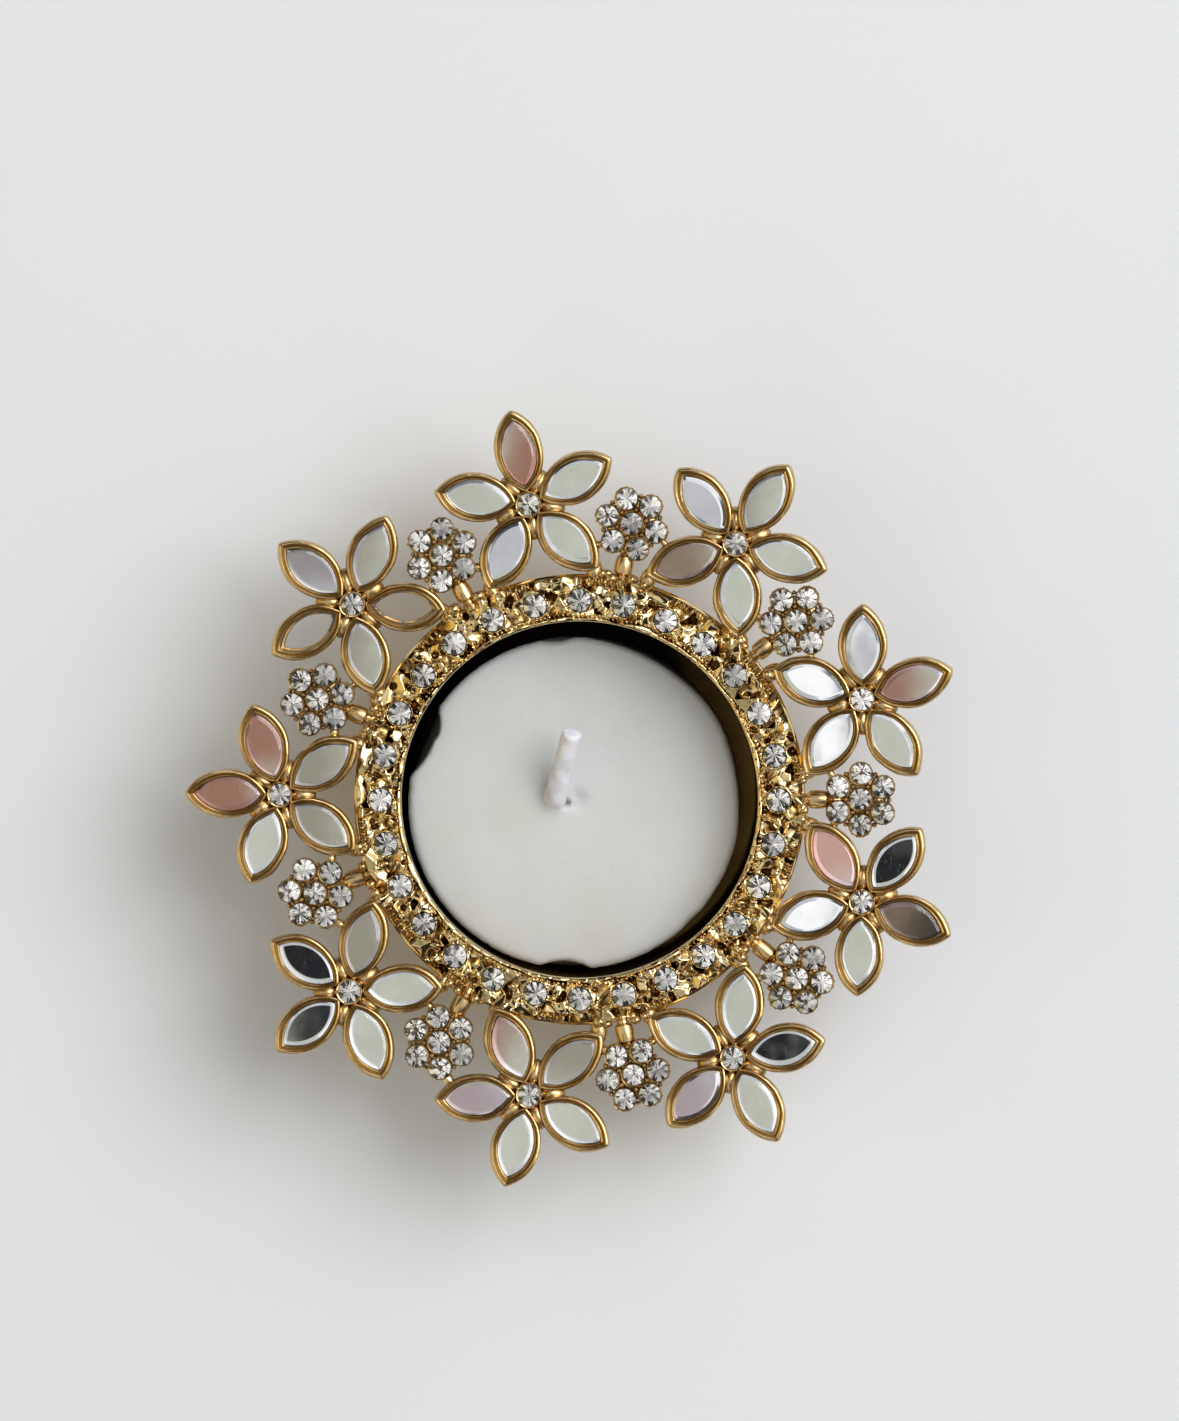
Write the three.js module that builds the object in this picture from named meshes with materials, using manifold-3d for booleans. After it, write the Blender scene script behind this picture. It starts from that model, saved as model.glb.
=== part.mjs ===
// Flower tealight holder: a cup under a crystal ring, a wreath of flower frames with mirror petals, and a candle.
// Millimetres, +Z up. The origin is the centre of the cup's underside.

import * as THREE from "three";
import { mergeVertices } from "three/addons/utils/BufferGeometryUtils.js";
import Module from "manifold-3d";

const wasm = await Module();
wasm.setup();

// Candle: a bare wax puck with its wick and the metal foot that holds the wick
const WAX_DIAMETER = 37.4;
const WAX_HEIGHT = 12;
const WAX_TOP_EDGE = 0.7;
const WAX_FOOT_EDGE = 0.5;
const WAX_DISH = 0.3;
const CANDLE_CLEARANCE = 1.1; // the ring's bore over the wax, on the radius
const CANDLE_REST_GAP = 0.35; // left on the side that the candle has slid to
const CANDLE_SIDE = 203; // degrees, that side
const CHIP_FALL = 4; // how far down the wax a chip runs
const CHIPS = [
  { angle: 150, width: 7, depth: 1 },
  { angle: 105, width: 3.5, depth: 0.5 },
  { angle: -86, width: 6, depth: 0.9 },
];
const WICK_DIAMETER = 2;
const WICK_PLACE = new THREE.Vector2(-1.9, 0.2); // from the middle of the wax
const WICK_REACH = new THREE.Vector2(2.1, 7.4); // sideways, from the wax to the wick's end
const WICK_RISE = 5.5;
const WICK_BEND = 1.3; // power of its lean: 1 is straight, more bends it at the foot
const WICK_FOOT_DIAMETER = 13;
const WICK_FOOT_SHEET = 0.4;
const WICK_FOOT_NECK = 3.2;
const FIT_GAP = 0.3; // between pieces that fit in or rest on each other

// Cup
const CUP_HEIGHT = 17;
const CUP_WALL = 0.8;
const CUP_FLOOR = 0.9;
const CUP_CORNER = 1.6;
const FLANGE_SHEET = 0.8;
const FLANGE_SETBACK = 0.6; // the flange's edge inside the ring's edge
const RING_OVERHANG = 0.5; // the ring's bore inside the cup's bore

// Crystal ring: two rims with a channel of crystals between them
const RING_THICKNESS = 3;
const RING_RIM = 0.75;
const RING_DRAFT = 0.3;
const RING_CRYSTALS = 28;
const RING_CRYSTAL_DIAMETER = 2.6;
const CHANNEL_GAP = 0.25; // beside a crystal in the channel
const CHANNEL_DEPTH = 0.7;
const NUGGET_LENGTH = 2.2; // the cast lozenge between two crystals
const NUGGET_WIDTH = 1.5;
const NUGGET_TOP_SHARE = 0.5; // its blunt top, of its foot
const CROWN_RISE = 0.5; // a crystal's crown over its setting
const TABLE_SHARE = 0.55; // a crystal's flat table, of its diameter

// Clusters: six crystals round one, on a stem
const CLUSTER_CRYSTAL_DIAMETER = 2.35;
const CLUSTER_SPACING = 0.5; // between two crystals
const CLUSTER_LIP = 0.1; // the setting's metal round a crystal
const CLUSTER_THICKNESS = 1.7;
const CLUSTER_PLATE = 0.8;
const STEM_LENGTH = 2.7; // from the ring to the cluster's nearest crystals
const STEM_DIAMETER = 1.2;
const STEM_BEAD_DIAMETER = 1.9;

// Flowers: five frames round a hub, soldered to the ring, raised outwards
const FIRST_FLOWER = 100; // degrees, and the rest follow clockwise, with a cluster after each
const PETALS = 5;
const PETAL_LENGTH = 9.3;
const PETAL_WIDTH = 5.5;
const PETAL_GAP = 0.52; // between two petals where they come closest
const PETAL_HEIGHT = 2.4;
const PETAL_WALL = 0.5;
const PETAL_LEDGE = 0.5;
const PETAL_LEDGE_HEIGHT = 0.8;
const HUB_BITE = 0.4; // how far the hub reaches into the petals' tips
const HUB_CRYSTAL_DIAMETER = 2.4;
const WEB_LENGTH = 1.3;
const WEB_BITE = 0.35; // how far a web reaches into a petal's wall
const LUG_DIAMETER = 1.4;
const LUG_BITE = 0.4;
const FLOWER_RAISE = 4; // degrees
const FLOWER_PROUD = 0.4; // a flower's middle over the ring
const FLOWER_GAP = 0.2; // least distance of a flower to the ring, the clusters and the next flower
const WREATH_STEP = 0.02; // by which the wreath is opened until that gap is there

// Mirrors: bevelled petals of glass on a bed of glue
const MIRROR_CLEARANCE = 0.25;
const MIRROR_BED = 0.45;
const MIRROR_THICKNESS = 0.9;
const MIRROR_BEVEL_WIDTH = 0.5;
const MIRROR_BEVEL_HEIGHT = 0.35;
const MIRROR_LEANS = {
  // degrees towards the candle, and sideways
  level: [0, 0],
  out: [-2.5, 0],
  in: [3.5, 0],
  side: [-1.2, 2.2],
};

// As soldered: each flower's place off its even one, its turn on its hub, both in degrees, and how its mirrors lie,
// from the outward petal anticlockwise. Two frames of the last flower have lost their mirrors.
const FLOWERS = [
  { place: -0.3, turn: 1, mirrors: ["side", "level", "in", "level", "level"] },
  { place: -1.4, turn: -3, mirrors: ["level", "in", "side", "level", "level"] },
  { place: -0.3, turn: -2, mirrors: ["side", "in", "in", "in", "level"] },
  { place: 0.2, turn: -1, mirrors: ["out", "out", "side", "in", "level"] },
  { place: 0.7, turn: -2, mirrors: ["level", "out", "level", "level", "in"] },
  { place: 0.3, turn: -5, mirrors: ["level", "level", "level", "side", "in"] },
  { place: -0.2, turn: -1, mirrors: ["out", "level", "level", "level", "out"] },
  { place: -1, turn: 0, mirrors: ["side", "level", "level", "level", "side"] },
  { place: -0.8, turn: 1, mirrors: ["in", "none", "level", "none", "level"] },
];
const CLUSTERS = [
  { place: -0.8, turn: -7 },
  { place: -0.5, turn: -5 },
  { place: 0.1, turn: -1 },
  { place: 0.7, turn: 0 },
  { place: 1, turn: 0 },
  { place: -0.1, turn: 2 },
  { place: -0.5, turn: 5 },
  { place: -1, turn: 3 },
  { place: -0.7, turn: 0 },
];

// Facets
const ROUND_SIDES = 48;
const WAX_SIDES = 40;
const STONE_SIDES = 6;
const BAR_SIDES = 8;
const ARC_STEPS = 4;
const WICK_STEPS = 9;
const CUT_MARGIN = 1; // how far a cutter runs past what it cuts
const SETTING_BITE = 0.3; // how far a set piece reaches into what carries it
const MERGE_DISTANCE = 1e-4;

// Sizes that follow
const waxRadius = WAX_DIAMETER / 2;
const wickRadius = WICK_DIAMETER / 2;
const neckRadius = wickRadius + FIT_GAP + WICK_FOOT_SHEET;
const ringBore = waxRadius + CANDLE_CLEARANCE;
const channelInner = ringBore + RING_RIM;
const channelOuter = channelInner + RING_CRYSTAL_DIAMETER + 2 * CHANNEL_GAP;
const ringTopEdge = channelOuter + RING_RIM;
const ringOuter = ringTopEdge + RING_DRAFT;
const cupBore = ringBore + RING_OVERHANG;
const cupRadius = cupBore + CUP_WALL;
const ringBase = CUP_HEIGHT + FIT_GAP;
const ringTop = ringBase + RING_THICKNESS;
const channelFloor = ringTop - CHANNEL_DEPTH;
const channelMiddle = (channelInner + channelOuter) / 2;
const clusterPitch = CLUSTER_CRYSTAL_DIAMETER + CLUSTER_SPACING;
const clusterSeat = CLUSTER_CRYSTAL_DIAMETER / 2 + CLUSTER_LIP;
const clusterCircle = ringOuter + STEM_LENGTH + clusterPitch * Math.cos(Math.PI / 6) + clusterSeat;
const petalArc = (PETAL_LENGTH ** 2 + PETAL_WIDTH ** 2) / (4 * PETAL_WIDTH);
const petalArcOffset = petalArc - PETAL_WIDTH / 2;
const petalStep = (2 * Math.PI) / PETALS;
const petalMiddle =
  (petalArc + PETAL_GAP / 2 - petalArcOffset * Math.cos(petalStep / 2)) / Math.sin(petalStep / 2);
const petalReach = petalMiddle + PETAL_LENGTH / 2;
const webPlace = petalMiddle * Math.cos(petalStep / 2) - petalArcOffset * Math.sin(petalStep / 2);
const hubRadius = petalMiddle - PETAL_LENGTH / 2 + HUB_BITE;
const flowerBase = ringTop + FLOWER_PROUD - PETAL_HEIGHT;
const flowerStep = 360 / FLOWERS.length;

// Finishes
const FINISHES = {
  castGold: { color: 0xc69a4e, roughness: 0.28, metalness: 1 },
  cupGold: { color: 0xa9803c, roughness: 0.35, metalness: 1 },
  mirror: { color: 0xd9dcd8, roughness: 0.04, metalness: 1 },
  wax: { color: 0xefede6, roughness: 0.5, metalness: 0 },
  cotton: { color: 0xf4f2ea, roughness: 0.9, metalness: 0 },
  tinPlate: { color: 0xb8bcc0, roughness: 0.35, metalness: 1 },
};

// Solids: a closed geometry as a body that can be joined and cut, and a body as a geometry again
function solidOf(geometry) {
  const bare = new THREE.BufferGeometry();
  bare.setAttribute("position", geometry.getAttribute("position"));
  bare.setIndex(geometry.index);
  const merged = mergeVertices(bare, MERGE_DISTANCE);
  const corners = merged.index.array;
  const kept = [];
  for (let i = 0; i < corners.length; i += 3) {
    const [a, b, c] = corners.slice(i, i + 3);
    if (a !== b && b !== c && c !== a) kept.push(a, b, c);
  }
  const vertProperties = merged.getAttribute("position").array;
  const triVerts = new Uint32Array(kept);
  return new wasm.Manifold(new wasm.Mesh({ numProp: 3, vertProperties, triVerts }));
}

function geometryOf(solid) {
  const mesh = solid.getMesh();
  const geometry = new THREE.BufferGeometry();
  geometry.setAttribute("position", new THREE.BufferAttribute(mesh.vertProperties, 3));
  geometry.setIndex(new THREE.BufferAttribute(mesh.triVerts, 1));
  return geometry;
}

function joined(solids) {
  return solids.reduce((whole, next) => whole.add(next));
}

function cut(solid, cutters) {
  return cutters.reduce((rest, next) => rest.subtract(next), solid);
}

// A profile of [radius, height] pairs turned about Z, from the foot of the axis out, up and back, or closed
function turned(profile, sides) {
  const points = profile.map(([radius, height]) => new THREE.Vector2(radius, height));
  return new THREE.LatheGeometry(points, sides).rotateX(Math.PI / 2);
}

// A body through outlines of as many points each, at rising heights
function lofted(layers) {
  const count = layers[0].outline.length;
  const last = (layers.length - 1) * count;
  const positions = layers.flatMap(({ outline, z }) => outline.flatMap((p) => [p.x, p.y, z]));
  const index = [];
  for (let start = 0; start < last; start += count) {
    for (let i = 0; i < count; i += 1) {
      const a = start + i;
      const b = start + ((i + 1) % count);
      index.push(a, b, b + count, a, b + count, a + count);
    }
  }
  for (const [a, b, c] of THREE.ShapeUtils.triangulateShape(layers[0].outline, [])) {
    index.push(a, c, b);
  }
  for (const [a, b, c] of THREE.ShapeUtils.triangulateShape(layers.at(-1).outline, [])) {
    index.push(last + a, last + b, last + c);
  }
  const geometry = new THREE.BufferGeometry();
  geometry.setAttribute("position", new THREE.Float32BufferAttribute(positions, 3));
  geometry.setIndex(index);
  return geometry;
}

function prism(outline, bottom, top) {
  return lofted([
    { outline, z: bottom },
    { outline, z: top },
  ]);
}

// A round bar between two points
function bar(from, to, diameter) {
  const along = to.clone().sub(from);
  const turn = new THREE.Quaternion().setFromUnitVectors(THREE.Object3D.DEFAULT_UP, along.clone().normalize());
  const middle = from.clone().addScaledVector(along, 0.5);
  return new THREE.CylinderGeometry(diameter / 2, diameter / 2, along.length(), BAR_SIDES)
    .applyQuaternion(turn)
    .translate(middle.x, middle.y, middle.z);
}

// A crystal in its setting: a round collet from foot to girdle, and a faceted crown
function setCrystal(colletRadius, crystalRadius, foot, girdle) {
  const table = girdle + CROWN_RISE;
  const profile = [
    [0, foot],
    [colletRadius, foot],
    [colletRadius, girdle],
    [crystalRadius * TABLE_SHARE, table],
    [0, table],
  ];
  return turned(profile, STONE_SIDES);
}

function onCircle(radius, degrees, z = 0) {
  const angle = THREE.MathUtils.degToRad(degrees);
  return new THREE.Vector3(radius * Math.cos(angle), radius * Math.sin(angle), z);
}

// Cup
function cup() {
  const flange = ringOuter - FLANGE_SETBACK;
  const innerCorner = CUP_CORNER - CUP_WALL;
  const profile = [
    [0, 0],
    [cupRadius - CUP_CORNER, 0],
    [cupRadius, CUP_CORNER],
    [cupRadius, CUP_HEIGHT - FLANGE_SHEET],
    [flange, CUP_HEIGHT - FLANGE_SHEET],
    [flange, CUP_HEIGHT],
    [cupBore, CUP_HEIGHT],
    [cupBore, CUP_FLOOR + innerCorner],
    [cupBore - innerCorner, CUP_FLOOR],
    [0, CUP_FLOOR],
  ];
  return solidOf(turned(profile, ROUND_SIDES));
}

// Crystal ring
function ringCasting() {
  const profile = [
    [ringBore, ringBase],
    [ringOuter, ringBase],
    [ringTopEdge, ringTop],
    [channelOuter, ringTop],
    [channelOuter, channelFloor],
    [channelInner, channelFloor],
    [channelInner, ringTop],
    [ringBore, ringTop],
    [ringBore, ringBase],
  ];
  return solidOf(turned(profile, ROUND_SIDES));
}

function ringCrystal(degrees) {
  const radius = RING_CRYSTAL_DIAMETER / 2;
  const crystal = setCrystal(radius, radius, channelFloor - SETTING_BITE, ringTop);
  const place = onCircle(channelMiddle, degrees);
  return solidOf(crystal.translate(place.x, place.y, place.z));
}

// The nugget is a four-sided pyramid with a blunt top, its length across the channel
function ringNugget(degrees) {
  const foot = channelFloor - SETTING_BITE;
  const height = ringTop - foot;
  const nugget = new THREE.CylinderGeometry(NUGGET_TOP_SHARE, 1, height, 4)
    .rotateX(Math.PI / 2)
    .scale(NUGGET_LENGTH / 2, NUGGET_WIDTH / 2, 1)
    .translate(channelMiddle, 0, foot + height / 2)
    .rotateZ(THREE.MathUtils.degToRad(degrees));
  return solidOf(nugget);
}

// Directions in the wreath, in degrees
function flowerDirection(index) {
  return FIRST_FLOWER - index * flowerStep + FLOWERS[index].place;
}

function clusterDirection(index) {
  return FIRST_FLOWER - (index + 0.5) * flowerStep + CLUSTERS[index % CLUSTERS.length].place;
}

// Where a cluster's crystals stand: the middle one, then the six round it
function clusterSeats(index) {
  const direction = clusterDirection(index);
  const middle = onCircle(clusterCircle, direction);
  const first = direction + CLUSTERS[index % CLUSTERS.length].turn + 30;
  const around = [0, 60, 120, 180, 240, 300].map((step) => onCircle(clusterPitch, first + step).add(middle));
  return [middle, ...around];
}

function cluster(index) {
  const foot = ringTop - CLUSTER_THICKNESS;
  const plateMiddle = foot + CLUSTER_PLATE / 2;
  const places = clusterSeats(index);
  const middle = places[0];
  const seats = places.map((place) =>
    solidOf(
      setCrystal(clusterSeat, CLUSTER_CRYSTAL_DIAMETER / 2, plateMiddle, ringTop).translate(place.x, place.y, 0),
    ),
  );
  const plateProfile = [
    [0, foot],
    [clusterPitch, foot],
    [clusterPitch, foot + CLUSTER_PLATE],
    [0, foot + CLUSTER_PLATE],
  ];
  const plate = solidOf(turned(plateProfile, BAR_SIDES).translate(middle.x, middle.y, 0));
  const direction = middle.clone().normalize();
  const root = direction.clone().multiplyScalar(channelOuter).setZ(plateMiddle);
  const end = direction.clone().multiplyScalar(clusterCircle - clusterSeat).setZ(plateMiddle);
  const stem = solidOf(bar(root, end, STEM_DIAMETER));
  const beadPlace = direction.clone().multiplyScalar(ringOuter + STEM_LENGTH / 2);
  const bead = solidOf(
    new THREE.SphereGeometry(STEM_BEAD_DIAMETER / 2, STONE_SIDES, STONE_SIDES - 2).translate(
      beadPlace.x,
      beadPlace.y,
      plateMiddle,
    ),
  );
  return joined([plate, stem, bead, ...seats]);
}

function crystalRing() {
  const step = 360 / RING_CRYSTALS;
  const pieces = [ringCasting()];
  for (let i = 0; i < RING_CRYSTALS; i += 1) {
    pieces.push(ringCrystal(i * step));
    pieces.push(ringNugget((i + 0.5) * step));
  }
  FLOWERS.forEach((flower, index) => pieces.push(cluster(index)));
  return joined(pieces);
}

// Flowers: a petal is a marquise between two arcs, drawn in by an inset, its axis at an angle from the outward one
function petalOutline(inset, angle) {
  const radius = petalArc - inset;
  const tip = Math.sqrt(radius ** 2 - petalArcOffset ** 2);
  const start = Math.atan2(petalArcOffset, tip);
  const sides = [
    new THREE.EllipseCurve(petalMiddle, -petalArcOffset, radius, radius, start, Math.PI - start),
    new THREE.EllipseCurve(petalMiddle, petalArcOffset, radius, radius, Math.PI + start, 2 * Math.PI - start),
  ];
  const origin = new THREE.Vector2();
  return sides
    .flatMap((side) => side.getPoints(ARC_STEPS).slice(0, -1))
    .map((point) => point.rotateAround(origin, angle));
}

function petalAngles(flower) {
  return Array.from({ length: PETALS }, (_, k) => THREE.MathUtils.degToRad(flower.turn) + k * petalStep);
}

// How far a point, in a flower's own plan, lies from a petal
function petalDistance(point, angle) {
  const own = point.clone().rotateAround(new THREE.Vector2(), -angle);
  const along = Math.abs(own.x - petalMiddle);
  const across = Math.abs(own.y);
  const tip = PETAL_LENGTH / 2;
  if ((along - tip) * petalArcOffset > across * tip) return Math.hypot(along - tip, across);
  return Math.hypot(along, across + petalArcOffset) - petalArc;
}

// The plan of the wreath, with a flower's middle on a circle: every petal keeps its gap
function wreathIsClear(circle) {
  return FLOWERS.every((flower, index) => {
    const axis = new THREE.Vector2(-circle, 0);
    const own = THREE.MathUtils.degToRad(flowerDirection(index));
    const inPlan = ({ x, y }) => new THREE.Vector2(x, y).rotateAround(new THREE.Vector2(), -own).add(axis);
    const next = (index + 1) % FLOWERS.length;
    const nextTurn = THREE.MathUtils.degToRad(flowerDirection(next)) - own;
    const neighbourPoints = petalAngles(FLOWERS[next])
      .flatMap((angle) => petalOutline(0, angle))
      .map((point) => point.rotateAround(axis, nextTurn));
    const before = (index + FLOWERS.length - 1) % FLOWERS.length;
    const seats = [...clusterSeats(before), ...clusterSeats(index)].map(inPlan);
    return petalAngles(flower).every(
      (angle) =>
        petalOutline(0, angle).every((p) => Math.hypot(p.x + circle, p.y) >= ringOuter + FLOWER_GAP) &&
        seats.every((seat) => petalDistance(seat, angle) >= clusterSeat + FLOWER_GAP) &&
        neighbourPoints.every((point) => petalDistance(point, angle) >= FLOWER_GAP),
    );
  });
}

function wreathCircle() {
  let circle = ringOuter;
  while (!wreathIsClear(circle)) circle += WREATH_STEP;
  return circle;
}

const flowerCircle = wreathCircle();

// A lug runs from an inward petal's tip to the ring
function lug(angle) {
  const height = PETAL_HEIGHT / 2;
  const inside = petalReach - LUG_BITE;
  const from = new THREE.Vector3(inside * Math.cos(angle), inside * Math.sin(angle), height);
  const axis = new THREE.Vector3(-flowerCircle, 0, height);
  const to = from.clone().sub(axis).setLength(ringOuter + FIT_GAP).add(axis);
  return solidOf(bar(from, to, LUG_DIAMETER));
}

function web(angle) {
  const size = PETAL_GAP + 2 * WEB_BITE;
  const geometry = new THREE.BoxGeometry(WEB_LENGTH, size, PETAL_HEIGHT - PETAL_LEDGE_HEIGHT)
    .translate(webPlace, 0, (PETAL_HEIGHT - PETAL_LEDGE_HEIGHT) / 2)
    .rotateZ(angle);
  return solidOf(geometry);
}

function hub() {
  const profile = [
    [0, 0],
    [hubRadius, 0],
    [hubRadius, PETAL_HEIGHT],
    [0, PETAL_HEIGHT],
  ];
  return solidOf(turned(profile, 2 * PETALS));
}

function flowerFrame(flower) {
  const angles = petalAngles(flower);
  const inward = angles.filter((angle) => Math.cos(angle) < Math.cos(Math.PI - petalStep));
  const metal = joined([
    hub(),
    ...angles.map((angle) => solidOf(prism(petalOutline(0, angle), 0, PETAL_HEIGHT))),
    ...angles.map((angle) => web(angle + petalStep / 2)),
    ...inward.map(lug),
  ]);
  const top = PETAL_HEIGHT + CUT_MARGIN;
  const pockets = angles.flatMap((angle) => [
    solidOf(prism(petalOutline(PETAL_WALL, angle), PETAL_LEDGE_HEIGHT, top)),
    solidOf(prism(petalOutline(PETAL_WALL + PETAL_LEDGE, angle), -CUT_MARGIN, top)),
  ]);
  const radius = HUB_CRYSTAL_DIAMETER / 2;
  const crystal = solidOf(setCrystal(radius, radius, PETAL_HEIGHT - SETTING_BITE, PETAL_HEIGHT + SETTING_BITE));
  return cut(metal, pockets).add(crystal);
}

// A mirror lies flat about its own middle, at the origin, and is leaned and placed by its group
function mirror(angle) {
  const inset = PETAL_WALL + MIRROR_CLEARANCE;
  const middle = new THREE.Vector2(petalMiddle, 0).rotateAround(new THREE.Vector2(), angle);
  const layer = (drawnIn, z) => ({ outline: petalOutline(drawnIn, angle).map((p) => p.sub(middle)), z });
  return lofted([
    layer(inset, 0),
    layer(inset, MIRROR_THICKNESS - MIRROR_BEVEL_HEIGHT),
    layer(inset + MIRROR_BEVEL_WIDTH, MIRROR_THICKNESS),
  ]);
}

// Candle, about the middle of the wax's underside
function chip({ angle, width, depth }) {
  const radius = (width ** 2 / 4 + depth ** 2) / (2 * depth);
  const height = CHIP_FALL + CUT_MARGIN;
  const place = onCircle(waxRadius - depth + radius, angle, WAX_HEIGHT + CUT_MARGIN - height / 2);
  const cutter = new THREE.CylinderGeometry(radius, radius, height, 4 * BAR_SIDES).rotateX(Math.PI / 2);
  return solidOf(cutter.translate(place.x, place.y, place.z));
}

function wax() {
  const profile = [
    [0, 0],
    [waxRadius - WAX_FOOT_EDGE, 0],
    [waxRadius, WAX_FOOT_EDGE],
    [waxRadius, WAX_HEIGHT - WAX_TOP_EDGE],
    [waxRadius - WAX_TOP_EDGE, WAX_HEIGHT],
    [0, WAX_HEIGHT - WAX_DISH],
  ];
  const footRecess = [
    [0, -CUT_MARGIN],
    [WICK_FOOT_DIAMETER / 2 + FIT_GAP, -CUT_MARGIN],
    [WICK_FOOT_DIAMETER / 2 + FIT_GAP, WICK_FOOT_SHEET + FIT_GAP],
    [neckRadius + FIT_GAP, WICK_FOOT_SHEET + FIT_GAP],
    [neckRadius + FIT_GAP, WICK_FOOT_NECK + FIT_GAP],
    [wickRadius + FIT_GAP, WICK_FOOT_NECK + FIT_GAP],
    [wickRadius + FIT_GAP, WAX_HEIGHT + CUT_MARGIN],
    [0, WAX_HEIGHT + CUT_MARGIN],
  ];
  const bore = turned(footRecess, 2 * BAR_SIDES).translate(WICK_PLACE.x, WICK_PLACE.y, 0);
  return cut(solidOf(turned(profile, WAX_SIDES)), [solidOf(bore), ...CHIPS.map(chip)]);
}

function wickFoot() {
  const bore = wickRadius + FIT_GAP;
  const profile = [
    [bore, 0],
    [WICK_FOOT_DIAMETER / 2, 0],
    [WICK_FOOT_DIAMETER / 2, WICK_FOOT_SHEET],
    [neckRadius, WICK_FOOT_SHEET],
    [neckRadius, WICK_FOOT_NECK],
    [bore, WICK_FOOT_NECK],
    [bore, 0],
  ];
  return solidOf(turned(profile, 2 * BAR_SIDES));
}

// The wick stands straight in the wax, then leans over
function wick() {
  const straight = [0, WAX_HEIGHT / 2, WAX_HEIGHT].map((z) => new THREE.Vector3(0, 0, z));
  const leaning = [0.2, 0.6, 1].map((share) => {
    const side = WICK_REACH.clone().multiplyScalar(share ** WICK_BEND);
    return new THREE.Vector3(side.x, side.y, WAX_HEIGHT + WICK_RISE * share);
  });
  const path = new THREE.CatmullRomCurve3([...straight, ...leaning]);
  const section = new THREE.Shape(new THREE.EllipseCurve(0, 0, wickRadius, wickRadius).getPoints(BAR_SIDES));
  return solidOf(new THREE.ExtrudeGeometry(section, { steps: WICK_STEPS, extrudePath: path }));
}

// Assembly
const holder = new THREE.Group();

function addMesh(parent, name, geometry, finish) {
  const mesh = new THREE.Mesh(geometry, new THREE.MeshStandardMaterial(FINISHES[finish]));
  mesh.name = name;
  parent.add(mesh);
  return mesh;
}

addMesh(holder, "cup", geometryOf(cup()), "cupGold");
addMesh(holder, "crystal_ring", geometryOf(crystalRing()), "castGold");

FLOWERS.forEach((flower, index) => {
  const name = `flower_${index + 1}`;
  const arm = new THREE.Group();
  arm.rotation.z = THREE.MathUtils.degToRad(flowerDirection(index));
  holder.add(arm);
  const head = new THREE.Group();
  head.position.set(flowerCircle, 0, flowerBase);
  head.rotation.y = -THREE.MathUtils.degToRad(FLOWER_RAISE);
  arm.add(head);
  addMesh(head, `${name}_frame`, geometryOf(flowerFrame(flower)), "castGold");
  petalAngles(flower).forEach((angle, k) => {
    const lean = MIRROR_LEANS[flower.mirrors[k % flower.mirrors.length]];
    if (!lean) return;
    const glass = addMesh(head, `${name}_mirror_${k + 1}`, mirror(angle), "mirror");
    glass.position.set(petalMiddle * Math.cos(angle), petalMiddle * Math.sin(angle), 0);
    glass.position.z = PETAL_LEDGE_HEIGHT + MIRROR_BED;
    glass.rotation.set(THREE.MathUtils.degToRad(-lean[1]), THREE.MathUtils.degToRad(-lean[0]), 0);
  });
});

const candle = new THREE.Group();
const candleShift = onCircle(CANDLE_CLEARANCE - CANDLE_REST_GAP, CANDLE_SIDE);
candle.position.set(candleShift.x, candleShift.y, CUP_FLOOR + FIT_GAP);
holder.add(candle);
addMesh(candle, "wax", geometryOf(wax()), "wax");
const wickGroup = new THREE.Group();
wickGroup.position.set(WICK_PLACE.x, WICK_PLACE.y, 0);
candle.add(wickGroup);
addMesh(wickGroup, "wick", geometryOf(wick()), "cotton");
addMesh(wickGroup, "wick_sustainer", geometryOf(wickFoot()), "tinPlate");

export default holder;
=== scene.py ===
"""Flower tealight holder: the looks of its pieces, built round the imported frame.

Every size is in metres. A piece takes its place from the frame's nodes,
and its fine sizes from the properties below.
"""

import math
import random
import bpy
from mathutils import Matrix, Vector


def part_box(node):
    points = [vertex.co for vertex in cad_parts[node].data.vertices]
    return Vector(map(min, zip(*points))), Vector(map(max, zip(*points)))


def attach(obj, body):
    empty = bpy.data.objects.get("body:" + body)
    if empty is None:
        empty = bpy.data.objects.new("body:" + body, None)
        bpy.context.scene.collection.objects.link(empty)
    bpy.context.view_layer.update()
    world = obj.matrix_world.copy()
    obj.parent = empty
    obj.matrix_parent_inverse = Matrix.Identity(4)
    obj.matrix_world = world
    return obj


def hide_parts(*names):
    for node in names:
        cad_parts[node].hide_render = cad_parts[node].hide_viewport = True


bl_info = {
    "name": "Flower Tealight Holder",
    "version": (1, 0, 0),
    "blender": (4, 5, 0),
    "location": "3D View > Sidebar > Tealight",
    "description": "Builds a tealight holder with mirror flowers and crystals round its frame",
    "category": "Add Mesh",
}

import bmesh
import bpy
import numpy as np
from mathutils import Matrix, Vector, noise

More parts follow.
